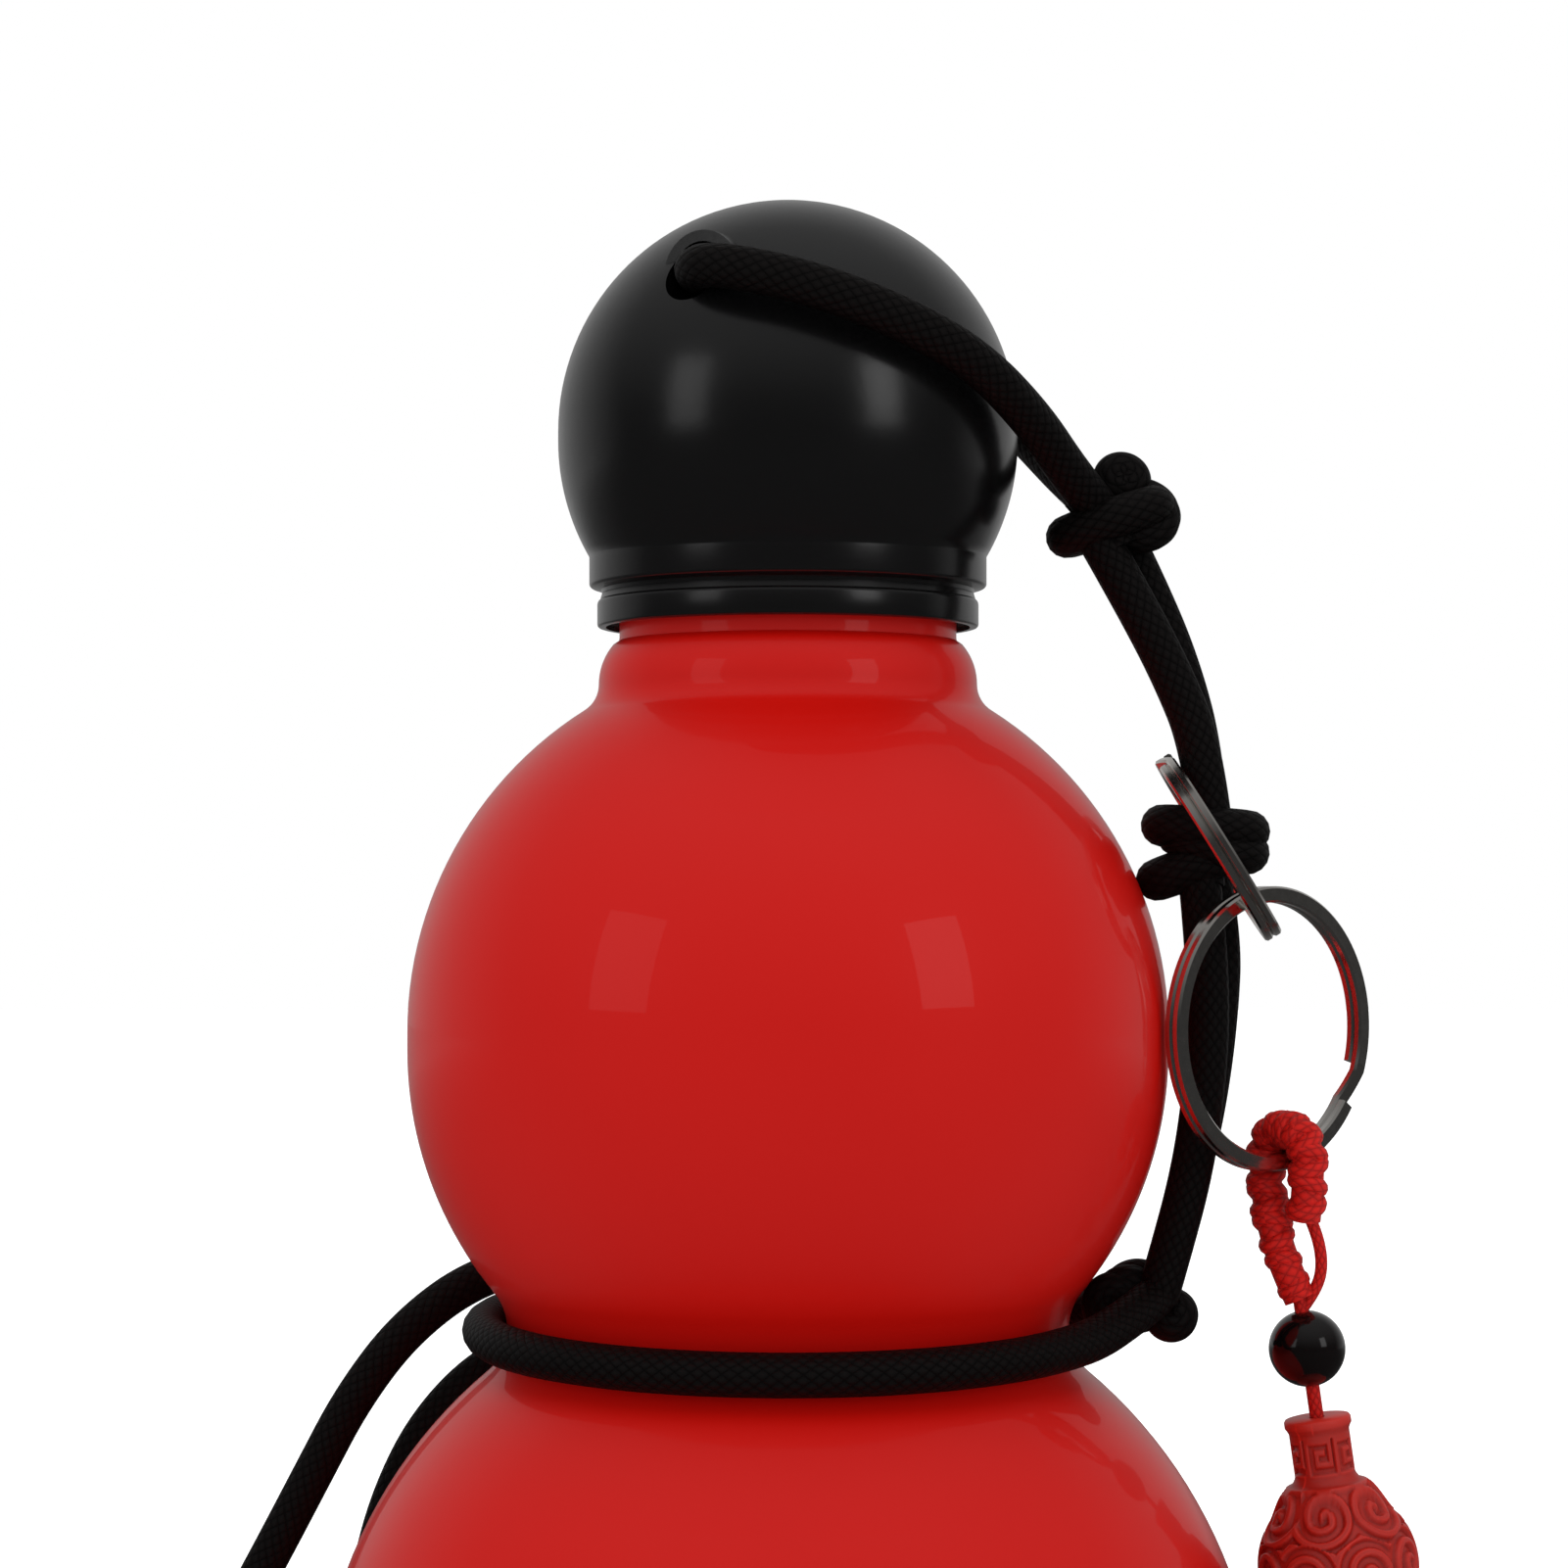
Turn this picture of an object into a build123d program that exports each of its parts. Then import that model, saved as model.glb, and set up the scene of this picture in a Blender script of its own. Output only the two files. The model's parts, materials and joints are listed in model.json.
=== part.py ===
from build123d import *
import math
import os

os.makedirs("parts", exist_ok=True)

# All lengths are millimetres. The base rests on z = 0 and the bottle's axis is +Z.
# The photograph looks along +Y, with +X to the right.

# Outside of the shell: two bulbs, each with a short straight belt, and the waist between them
lower_bulb_radius = 50.0
lower_bulb_belt = 0.8
upper_bulb_radius = 40.3
upper_bulb_belt = 1.9
waist_radius = 29.8
waist_fillet = 6.4
base_radius = 25.5

# Neck of the shell
neck_shoulder = 2.2
neck_fillet = 3.3
neck_step_height = 1.6
neck_chamfer_height = 2.7
neck_radius = 17.9
neck_bare_height = 3.0
thread_zone_height = 11.8
thread_relief = 0.15

# Walls of the body
shell_wall = 0.6
liner_wall = 0.5
vacuum_gap = 2.6
neck_vacuum_gap = 0.9
lip_thickness = 0.6
liner_base_gap = 4.0
liner_neck_rise = 4.7

# Closing of the base
foot_lift = 0.8
flange_width = 2.3
plate_thickness = 0.6
plate_overlap = 1.5
pad_gap = 0.3
pad_chamfer = 0.4
seal_hole_radius = 1.5
seal_head_radius = 3.0
seal_head_height = 0.8
getter_radius = 4.0
getter_height = 1.2

# Screw thread of the neck and the cap, right-handed
thread_pitch = 4.0
thread_depth = 1.1
thread_root_height = 1.8
thread_crest_height = 0.8
thread_sink = 0.3
neck_thread_turns = 2.0
cap_thread_turns = 1.5
cap_thread_start_deg = 150.0
thread_clearance = 0.3

# Cap
insert_wall = 1.1
insert_ceiling = 1.4
insert_recess = 1.0
collar_wall = 0.9
collar_band_step = 0.85
collar_gap = 1.75
collar_height = 7.5
collar_lip_height = 2.9
collar_chamfer_height = 1.0
collar_edge = 0.3
collar_groove_height = 0.4
collar_groove_depth = 0.4
glue_gap = 0.05
ball_overhang = 3.3
ball_belt = 1.0
ball_wall = 2.2
foam_radius = 17.0
foam_height = 11.0
tunnel_radius = 3.25
tunnel_wall = 1.2
tunnel_rise = 14.4
tunnel_turn_deg = 61.0
gasket_height = 1.5
gasket_inner_radius = 13.4
gasket_side_gap = 0.35
gasket_seat_gap = 0.1

# Black braided cord
cord_diameter = 4.5
corner_share = 0.45
wrap_gap = 0.25
wrap_tilt_deg = 2.0
wrap_end_x = 38.0
knot_core_radius = 3.6

# Strap's coil, which lies on the floor behind the bottle
coil_x = -60.0
coil_y = 72.0
coil_outer_radius = 33.6
coil_turns = 5 + 7 / 12
coil_gap = 0.5
coil_steps = 22
tie_thickness = 0.8
tie_width = 7.0
tie_gap = 0.35
tie_corner = 2.0
tie_angle_deg = 65.0

# Split rings: mean radius, radial width of the wire and height of its two turns
upper_ring_radius = 10.45
lower_ring_radius = 14.2
upper_wire_width = 1.6
lower_wire_width = 1.7
upper_ring_height = 2.0
lower_ring_height = 2.1
ring_edge = 0.25
ring_groove_depth = 0.2
ring_groove_height = 0.16
ring_split_width = 0.5

# Pendant
thread_cord_diameter = 1.5
bead_radius = 4.05
bead_bore_gap = 0.1
braid_loop_radius = 3.4
braid_loop_thickness = 3.3
braid_loop_width = 4.8
braid_loop_flat = 0.2
braid_top_radius = 3.9
braid_bottom_radius = 2.1
lip_radius = 3.5
bead_neck_radius = 3.2
bead_neck_height = 6.2
bead_lip_height = 1.0
bead_collar_radius = 3.9
bead_collar_slope = 0.4
carved_bulb_radius = 8.5
carved_bulb_drop = 15.9
carved_base_radius = 4.0
stop_knot_radius = 2.0

# Room that every cutting tool runs past the face it cuts
overrun = 1.0

# Heights that follow from the sizes above
lower_low_z = math.sqrt(lower_bulb_radius**2 - base_radius**2)
lower_high_z = lower_low_z + lower_bulb_belt
waist_rise = math.sqrt((lower_bulb_radius + waist_fillet) ** 2 - (waist_radius + waist_fillet) ** 2)
waist_z = lower_high_z + waist_rise
upper_rise = math.sqrt((upper_bulb_radius + waist_fillet) ** 2 - (waist_radius + waist_fillet) ** 2)
upper_low_z = waist_z + upper_rise
upper_high_z = upper_low_z + upper_bulb_belt
neck_step_radius = neck_radius + neck_shoulder
neck_arc_radius = neck_step_radius + neck_fillet
neck_arc_z = upper_high_z + math.sqrt((upper_bulb_radius + neck_fillet) ** 2 - neck_arc_radius**2)
neck_step_z = neck_arc_z + neck_step_height
neck_top_z = neck_step_z + neck_chamfer_height
thread_zone_z = neck_top_z + neck_bare_height
shell_top_z = thread_zone_z + thread_zone_height
mouth_z = shell_top_z + lip_thickness

# Radii of the thread
neck_crest_radius = neck_radius - thread_relief
neck_root_radius = neck_crest_radius - thread_depth
insert_bore_radius = neck_radius + thread_clearance
insert_crest_radius = neck_root_radius + thread_clearance
insert_outer_radius = insert_bore_radius + insert_wall
liner_neck_radius = neck_root_radius - shell_wall - neck_vacuum_gap
mouth_radius = liner_neck_radius - liner_wall

# Cap levels and radii
collar_z = neck_top_z + collar_gap
collar_bore_radius = insert_outer_radius + glue_gap
collar_lip_radius = collar_bore_radius + collar_wall
collar_band_radius = collar_lip_radius + collar_band_step
ball_radius = collar_band_radius + ball_overhang
junction_z = collar_z + collar_height
ball_low_z = junction_z + math.sqrt(ball_radius**2 - collar_band_radius**2)
ball_high_z = ball_low_z + ball_belt
cavity_radius = ball_radius - ball_wall
tunnel_z = ball_high_z + tunnel_rise
insert_z = collar_z + insert_recess
gasket_z = mouth_z + gasket_seat_gap
ceiling_z = gasket_z + gasket_height + gasket_seat_gap
insert_top_z = ceiling_z + insert_ceiling

# Cord levels
cord_radius = cord_diameter / 2
wrap_radius = waist_radius + cord_radius + wrap_gap
coil_z = cord_radius + tie_thickness + tie_gap
coil_pitch = cord_diameter + coil_gap

# Routes of the cord, chosen by hand from the photograph
cap_loop_route = [
    (33.2, -1.7, 173.4),
    (29.6, -5.6, 177.0),
    (25.2, -12.0, 182.2),
    (18.9, -19.8, 187.2),
    (10.7, -24.4, 191.0),
    (1.5, -25.3, 194.2),
    (-7.2, -23.1, 196.3),
    (-10.08, -18.19, 196.43),
    (-6.79, -12.24, 196.1),
    (6.79, 12.24, 196.1),
    (10.08, 18.19, 196.43),
    (14.4, 21.0, 195.2),
    (20.8, 20.2, 190.2),
    (26.6, 14.6, 183.2),
    (30.8, 6.6, 177.2),
    (34.0, 1.8, 173.6),
]
tether_upper_front_route = [
    (32.8, -2.4, 170.6),
    (37.0, -2.5, 163.2),
    (40.7, -2.5, 156.0),
    (43.6, -2.5, 148.9),
    (44.6, -2.4, 141.4),
]
tether_upper_back_route = [
    (36.0, 2.4, 170.8),
    (39.5, 2.5, 163.6),
    (42.3, 2.5, 156.2),
    (44.2, 2.5, 148.8),
    (45.0, 2.4, 141.2),
]
tether_lower_front_route = [
    (43.4, -2.4, 136.0),
    (44.1, -2.5, 128.6),
    (44.5, -2.5, 120.0),
    (43.9, -2.5, 111.4),
    (42.6, -2.5, 103.2),
    (40.4, -2.4, 95.0),
    (39.0, -2.4, 90.2),
]
tether_lower_back_route = [
    (45.0, 2.4, 136.0),
    (46.4, 2.5, 128.6),
    (46.0, 2.5, 120.0),
    (44.9, 2.5, 111.4),
    (43.1, 2.5, 103.2),
    (41.1, 2.4, 95.0),
    (39.7, 2.4, 90.2),
]
strap_front_route = [
    (-14.2, 34.8, 90.1),
    (-24.8, 30.6, 91.9),
    (-34.9, 23.6, 90.2),
    (-42.7, 20.6, 84.6),
    (-48.6, 20.0, 76.8),
    (-53.0, 20.0, 68.4),
    (-57.2, 20.2, 60.4),
    (-62.0, 21.4, 51.6),
    (-67.8, 24.2, 42.0),
    (-74.6, 28.6, 32.0),
    (-82.0, 34.6, 22.2),
    (-88.8, 42.2, 13.0),
    (-92.8, 51.0, 6.0),
    (-93.6, 60.2, 3.4),
    (-93.6, 67.5, 3.4),
]
strap_back_route = [
    (-33.152, 51.303, 8.4),
    (-37.152, 44.375, 8.4),
    (-42.4, 38.8, 11.2),
    (-47.0, 34.6, 17.8),
    (-50.2, 31.4, 26.4),
    (-51.2, 28.8, 36.0),
    (-49.8, 26.8, 45.8),
    (-47.4, 25.2, 55.6),
    (-44.9, 24.2, 65.0),
    (-40.6, 24.0, 73.6),
    (-33.9, 24.8, 80.3),
    (-25.0, 29.4, 83.4),
    (-14.6, 34.2, 84.2),
]

# Places of the knots, rings and pendant on the cord
cap_knot_place = (34.4, 0.0, 172.5)
cap_knot_upper_place = (37.2, 0.0, 176.1)
ring_knot_place = (44.5, 0.0, 139.8)
ring_knot_lower_place = (43.8, 0.0, 135.2)
waist_knot_place = (37.4, 0.0, 88.9)
waist_knot_lump_place = (40.6, 0.0, 88.5)
strap_knot_place = (-13.4, 34.2, 87.0)
upper_ring_place = (45.75, 0.0, 138.0)
upper_ring_tilt_deg = 58.0
upper_ring_roll_deg = 4.5
lower_ring_place = (50.87, -2.7, 118.8)
lower_ring_turn_deg = 40.7
hang_deg = 11.0
pendant_lean_deg = 8.2
braid_top_place = (52.53, -0.93, 101.41)
strand_route = [
    (55.53, -0.93, 101.63),
    (57.03, -0.93, 97.62),
    (56.53, -0.93, 93.51),
    (54.82, -0.93, 90.91),
]
black_bead_place = (55.08, -0.93, 84.81)
braid_rise = 6.4
carved_lip_drop = 7.33
pendant_tail = 2.0


def save(shape, name):
    """Write one piece to its own file."""
    export_step(shape, "parts/" + name + ".step")


def arc_between(centre_r, centre_z, radius, start, end):
    """Arc in the XZ plane about a centre, from one angle to another in radians."""
    middle = (start + end) / 2
    places = [
        (centre_r + radius * math.cos(angle), 0, centre_z + radius * math.sin(angle))
        for angle in (start, middle, end)
    ]
    return ThreePointArc(*places)


def gourd_side(inset, start_z):
    """Curves of the gourd's side from start_z to the foot of the neck, set in by inset."""
    lower = lower_bulb_radius - inset
    upper = upper_bulb_radius - inset
    to_waist = math.atan2(waist_rise, waist_radius + waist_fillet)
    from_waist = -math.atan2(upper_rise, waist_radius + waist_fillet)
    to_neck = math.atan2(neck_arc_z - upper_high_z, neck_arc_radius)
    curves = [arc_between(0, lower_low_z, lower, math.asin((start_z - lower_low_z) / lower), 0)]
    curves.append(Line((lower, 0, lower_low_z), (lower, 0, lower_high_z)))
    curves.append(arc_between(0, lower_high_z, lower, 0, to_waist))
    curves.append(
        arc_between(
            waist_radius + waist_fillet,
            waist_z,
            waist_fillet + inset,
            math.pi + to_waist,
            math.pi + from_waist,
        )
    )
    curves.append(arc_between(0, upper_low_z, upper, from_waist, 0))
    curves.append(Line((upper, 0, upper_low_z), (upper, 0, upper_high_z)))
    curves.append(arc_between(0, upper_high_z, upper, 0, to_neck))
    curves.append(
        arc_between(neck_arc_radius, neck_arc_z, neck_fillet + inset, math.pi + to_neck, math.pi)
    )
    return curves


def turned(curves):
    """Solid of revolution of a closed chain of curves in the XZ plane."""
    outline = Wire([edge for curve in curves for edge in curve.edges()])
    return revolve(Face(outline), Axis.Z)


def turned_outline(points):
    """Solid of revolution of a polygon of (radius, height) points."""
    return turned([Polyline(*[(r, 0, z) for r, z in points], close=True)])


def disc(radius, low_z, high_z, hole=0):
    """Flat round disc between two heights, with or without a hole."""
    return turned_outline([(hole, low_z), (radius, low_z), (radius, high_z), (hole, high_z)])


def ridge(turns, middle_z, root, crest, sink):
    """Helical ridge of the thread from its root radius to its crest radius."""
    side = math.copysign(1, crest - root)
    height = turns * thread_pitch
    low_z = middle_z - height / 2
    path = Helix(thread_pitch, height, root, center=(0, 0, low_z))
    back = root - side * sink
    low_half = [
        (back, 0, low_z - thread_root_height / 2),
        (root, 0, low_z - thread_root_height / 2),
        (crest, 0, low_z - thread_crest_height / 2),
    ]
    high_half = [(r, 0, 2 * low_z - z) for r, _, z in reversed(low_half)]
    places = low_half + high_half
    if side < 0:
        places.reverse()
    profile = Polyline(*places, close=True)
    return sweep(Face(Wire(profile.edges())), path=path, is_frenet=True)


def outer_shell():
    """Red outer wall with the base flange and the threaded neck."""
    flange_z = foot_lift + shell_wall
    foot_radius = math.sqrt(lower_bulb_radius**2 - (lower_low_z - foot_lift) ** 2)
    inner_lower = lower_bulb_radius - shell_wall
    flange_outer = math.sqrt(inner_lower**2 - (lower_low_z - flange_z) ** 2)
    flange_inner = foot_radius - flange_width
    inner_neck = neck_step_radius - shell_wall
    outside = gourd_side(0, foot_lift)
    inside = gourd_side(shell_wall, flange_z)
    neck = [
        (neck_step_radius, neck_arc_z),
        (neck_step_radius, neck_step_z),
        (neck_radius, neck_top_z),
        (neck_radius, thread_zone_z),
        (neck_root_radius, thread_zone_z + thread_depth),
        (neck_root_radius, shell_top_z),
        (neck_root_radius - shell_wall, shell_top_z),
        (neck_root_radius - shell_wall, thread_zone_z + thread_depth),
        (neck_radius - shell_wall, thread_zone_z),
        (neck_radius - shell_wall, neck_top_z),
        (inner_neck, neck_step_z),
        (inner_neck, neck_arc_z),
    ]
    foot = [
        (flange_outer, flange_z),
        (flange_inner, flange_z),
        (flange_inner, foot_lift),
        (foot_radius, foot_lift),
    ]
    curves = outside + [Polyline(*[(r, 0, z) for r, z in neck])]
    curves = curves + inside + [Polyline(*[(r, 0, z) for r, z in foot])]
    thread_z = (thread_zone_z + thread_depth + shell_top_z) / 2
    thread = ridge(neck_thread_turns, thread_z, neck_root_radius, neck_crest_radius, thread_sink)
    return turned(curves) + thread


def inner_liner():
    """Steel inner bottle with the rolled lip of the mouth."""
    outer_inset = shell_wall + vacuum_gap
    inner_inset = outer_inset + liner_wall
    base_z = foot_lift + shell_wall + plate_thickness + liner_base_gap
    floor_z = base_z + liner_wall
    outer_start = math.sqrt((lower_bulb_radius - outer_inset) ** 2 - (lower_low_z - base_z) ** 2)
    inner_start = math.sqrt((lower_bulb_radius - inner_inset) ** 2 - (lower_low_z - floor_z) ** 2)
    neck_z = neck_arc_z + liner_neck_rise
    neck = [
        (neck_step_radius - outer_inset, neck_arc_z),
        (liner_neck_radius, neck_z),
        (liner_neck_radius, shell_top_z),
        (neck_root_radius, shell_top_z),
        (neck_root_radius, mouth_z),
        (mouth_radius, mouth_z),
        (mouth_radius, neck_z),
        (neck_step_radius - inner_inset, neck_arc_z),
    ]
    base = [(inner_start, floor_z), (0, floor_z), (0, base_z), (outer_start, base_z)]
    curves = gourd_side(outer_inset, base_z) + [Polyline(*[(r, 0, z) for r, z in neck])]
    curves = curves + gourd_side(inner_inset, floor_z)
    curves = curves + [Polyline(*[(r, 0, z) for r, z in base])]
    return turned(curves)


def base_pieces():
    """Plate, pad, seal and getter that close the base."""
    flange_z = foot_lift + shell_wall
    foot_radius = math.sqrt(lower_bulb_radius**2 - (lower_low_z - foot_lift) ** 2)
    flange_inner = foot_radius - flange_width
    plate_z = flange_z + plate_thickness
    plate = disc(flange_inner + plate_overlap, flange_z, plate_z, seal_hole_radius)
    pad_radius = flange_inner - pad_gap
    pad = turned_outline(
        [
            (0, 0),
            (pad_radius - pad_chamfer, 0),
            (pad_radius, pad_chamfer),
            (pad_radius, flange_z),
            (0, flange_z),
        ]
    )
    seal = turned_outline(
        [
            (0, flange_z),
            (seal_hole_radius, flange_z),
            (seal_hole_radius, plate_z),
            (seal_head_radius, plate_z),
            (seal_head_radius, plate_z + seal_head_height),
            (0, plate_z + seal_head_height),
        ]
    )
    liner_z = plate_z + liner_base_gap
    pill = disc(getter_radius, liner_z - getter_height, liner_z)
    return {"base_plate": plate, "base_pad": pad, "vacuum_seal": seal, "getter": pill}


def tunnel_axis():
    """Direction of the cord's tunnel, which crosses the cap's axis level."""
    angle = math.radians(tunnel_turn_deg)
    return Vector(math.cos(angle), math.sin(angle), 0)


def tunnel_rod(radius, length):
    """Round rod along the cord's tunnel."""
    middle = Plane(origin=(0, 0, tunnel_z), z_dir=tunnel_axis())
    return middle * Cylinder(radius, length)


def cap_ball():
    """Ball with its stepped collar, hollow inside, and the tunnel through its top."""
    to_collar = -math.acos(collar_band_radius / ball_radius)
    lip_top = collar_z + collar_lip_height
    band_z = lip_top + collar_chamfer_height
    groove_z = band_z + collar_groove_height
    groove_radius = collar_band_radius - collar_groove_depth
    side = [
        (0, collar_z),
        (collar_lip_radius - collar_edge, collar_z),
        (collar_lip_radius, collar_z + collar_edge),
        (collar_lip_radius, lip_top),
        (groove_radius, band_z),
        (groove_radius, groove_z),
        (collar_band_radius, groove_z + collar_groove_depth),
        (collar_band_radius, junction_z),
    ]
    curves = [Polyline(*[(r, 0, z) for r, z in side])]
    curves.append(arc_between(0, ball_low_z, ball_radius, to_collar, 0))
    curves.append(Line((ball_radius, 0, ball_low_z), (ball_radius, 0, ball_high_z)))
    curves.append(arc_between(0, ball_high_z, ball_radius, 0, math.pi / 2))
    curves.append(Line((0, 0, ball_high_z + ball_radius), (0, 0, collar_z)))
    solid = turned(curves)
    to_bore = -math.acos(collar_bore_radius / cavity_radius)
    bore_top = ball_low_z + cavity_radius * math.sin(to_bore)
    below = collar_z - overrun
    hollow = [
        Polyline((0, 0, below), (collar_bore_radius, 0, below), (collar_bore_radius, 0, bore_top))
    ]
    hollow.append(arc_between(0, ball_low_z, cavity_radius, to_bore, 0))
    hollow.append(Line((cavity_radius, 0, ball_low_z), (cavity_radius, 0, ball_high_z)))
    hollow.append(arc_between(0, ball_high_z, cavity_radius, 0, math.pi / 2))
    hollow.append(Line((0, 0, ball_high_z + cavity_radius), (0, 0, below)))
    through = 2 * (ball_radius + overrun)
    cavity = turned(hollow) - tunnel_rod(tunnel_radius + tunnel_wall, through)
    return solid - cavity - tunnel_rod(tunnel_radius, through)


def cap_insert():
    """Threaded inner cup that is glued in the collar."""
    cup = turned_outline(
        [
            (insert_bore_radius, insert_z),
            (insert_outer_radius, insert_z),
            (insert_outer_radius, insert_top_z),
            (0, insert_top_z),
            (0, ceiling_z),
            (insert_bore_radius, ceiling_z),
        ]
    )
    neck_middle = (thread_zone_z + thread_depth + shell_top_z) / 2
    thread_z = neck_middle - (neck_thread_turns - cap_thread_turns) * thread_pitch / 2
    thread_z = thread_z + (cap_thread_start_deg / 360 - 1 / 2) * thread_pitch
    thread = ridge(cap_thread_turns, thread_z, insert_bore_radius, insert_crest_radius, thread_sink)
    return cup + Rot(0, 0, cap_thread_start_deg) * thread


def cap_pieces():
    """All pieces of the cap and the gasket under it."""
    gasket_outer = insert_bore_radius - gasket_side_gap
    gasket = disc(gasket_outer, gasket_z, gasket_z + gasket_height, gasket_inner_radius)
    foam = disc(foam_radius, insert_top_z, insert_top_z + foam_height)
    return {
        "cap_ball": cap_ball(),
        "cap_insert": cap_insert(),
        "cap_foam": foam,
        "cap_gasket": gasket,
    }


def corner_radii(points):
    """Largest arc at each corner that its two runs allow."""
    radii = []
    for before, corner, after in zip(points, points[1:], points[2:]):
        run_in = Vector(*corner) - Vector(*before)
        run_out = Vector(*after) - Vector(*corner)
        turn = math.radians(run_in.get_angle(run_out))
        shorter = min(run_in.length, run_out.length)
        radii.append(corner_share * shorter / math.tan(turn / 2))
    return radii


def tube(name, points, diameter):
    """Round cord along straight runs joined by arcs."""
    radii = corner_radii(points)
    path = FilletPolyline(*points, radius=radii)
    section = Plane(origin=path @ 0, z_dir=path % 0) * Circle(diameter / 2)
    solid = sweep(section, path=path)
    expected = math.pi * (diameter / 2) ** 2 * path.length
    print(name, "length", round(path.length, 1), "volume share", round(solid.volume / expected, 4))
    print(name, "radii", [round(radius, 1) for radius in radii])
    return solid


def knot_turn(place, turn_radius, thickness, lean_deg):
    """One turn of cord in a knot, a ring about +Z that leans about +Y."""
    ring = Torus(turn_radius, thickness / 2)
    return Location(place, (0, lean_deg, 0)) * ring


def cap_knot():
    """First knot: a wide turn that rises to the right, and a small one above it."""
    wide_turn_radius = cord_diameter * 1.18
    small_turn_radius = cord_diameter * 0.68
    wide = knot_turn(cap_knot_place, wide_turn_radius, cord_diameter, -20)
    small = knot_turn(cap_knot_upper_place, small_turn_radius, cord_diameter, 28)
    core = Pos(*cap_knot_place) * Sphere(knot_core_radius)
    return core + wide + small


def ring_knot():
    """Second knot: two turns, the lower one dropping to the left."""
    upper_turn_radius = cord_diameter * 0.93
    lower_turn_radius = cord_diameter * 0.82
    upper = knot_turn(ring_knot_place, upper_turn_radius, cord_diameter, 4)
    lower = knot_turn(ring_knot_lower_place, lower_turn_radius, cord_diameter, -16)
    core = Pos(*ring_knot_place) * Sphere(knot_core_radius)
    return core + upper + lower


def waist_knot():
    """Third knot: a turn about the wrap's ends and the lump above it."""
    turn_radius = cord_diameter * 0.78
    lump_radius = cord_diameter * 0.62
    turn = knot_turn(waist_knot_place, turn_radius, cord_diameter, 24)
    lump = knot_turn(waist_knot_lump_place, lump_radius, cord_diameter, -30)
    core = Pos(*waist_knot_place) * Sphere(knot_core_radius)
    return core + turn + lump


def strap_knot():
    """Knot of the strap's two ends on the wrap, behind the waist."""
    turn_radius = cord_diameter * 0.72
    turn = knot_turn(strap_knot_place, turn_radius, cord_diameter, 20)
    core = Pos(*strap_knot_place) * Sphere(knot_core_radius)
    return core + turn


def waist_wrap():
    """Turn of cord round the waist, lower in front, whose two ends run straight to the knot."""
    touch = math.acos(wrap_radius / wrap_end_x)
    touch_x = wrap_radius * math.cos(touch)
    touch_y = wrap_radius * math.sin(touch)
    front = Line((wrap_end_x, 0, 0), (touch_x, -touch_y, 0))
    round_part = ThreePointArc((touch_x, -touch_y, 0), (-wrap_radius, 0, 0), (touch_x, touch_y, 0))
    back = Line((touch_x, touch_y, 0), (wrap_end_x, 0, 0))
    pieces = []
    for path in (front, round_part, back):
        section = Plane(origin=path @ 0, z_dir=path % 0) * Circle(cord_diameter / 2)
        pieces.append(sweep(section, path=path))
    level = pieces[0] + pieces[1] + pieces[2]
    return Pos(0, 0, waist_z) * Rot(wrap_tilt_deg, 0, 0) * level


def coil_place(share):
    """Point of the coil's centreline at a share of its length, with the angle it lies at."""
    inward = min(share, 1 - share)
    radius = coil_outer_radius - coil_pitch * coil_turns * inward
    angle = math.pi - 2 * math.pi * coil_turns * share
    climb_share = 0.5 / coil_turns
    climb = min(max((share - 0.5) / climb_share + 0.5, 0), 1)
    lift = coil_pitch * climb * climb * (3 - 2 * climb)
    return Vector(
        coil_x + radius * math.cos(angle), coil_y + radius * math.sin(angle), coil_z + lift
    )


def coil_heading(share):
    """Direction of the coil's centreline, level and square to the radius at its ends."""
    angle = math.pi - 2 * math.pi * coil_turns * share
    if share in (0, 1):
        return Vector(math.sin(angle), -math.cos(angle), 0)
    small_share = 0.002
    return (coil_place(share + small_share) - coil_place(share - small_share)).normalized()


def biarc(start, start_heading, end, end_heading):
    """Two arcs that join two points with the given headings."""
    chord = end - start
    both = start_heading + end_heading
    spread = 2 * (1 - start_heading.dot(end_heading))
    along = chord.dot(both)
    reach = (math.sqrt(along**2 + spread * chord.dot(chord)) - along) / spread
    middle = (start + start_heading * reach + end - end_heading * reach) / 2
    first = Edge.make_tangent_arc(start, start_heading, middle)
    second = Edge.make_tangent_arc(middle, first % 1, end)
    return [first, second]


def strap_coil():
    """Coil of the strap: in on the floor layer and out again on the layer above."""
    shares = [step / coil_steps for step in range(coil_steps + 1)]
    places = [coil_place(share) for share in shares]
    headings = [coil_heading(share) for share in shares]
    edges = [Edge.make_line(places[0] - headings[0] * cord_diameter, places[0])]
    for i in range(coil_steps):
        edges = edges + biarc(places[i], headings[i], places[i + 1], headings[i + 1])
    edges.append(Edge.make_line(places[-1], places[-1] + headings[-1] * cord_diameter))
    path = Wire(edges)
    section = Plane(origin=path @ 0, z_dir=path % 0) * Circle(cord_diameter / 2)
    print("strap_coil length", round(path.length, 1), "least gap", round(least_gap(edges), 2))
    return sweep(section, path=path)


def least_gap(edges):
    """Least gap of the coil to itself, measured on points along its centreline."""
    points_per_edge = 12
    places = [edge @ (i / points_per_edge) for edge in edges for i in range(points_per_edge)]
    apart = 2 * points_per_edge
    least = coil_outer_radius
    for i in range(len(places)):
        for j in range(i + apart, len(places)):
            least = min(least, (places[i] - places[j]).length)
    return least - cord_diameter


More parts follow.
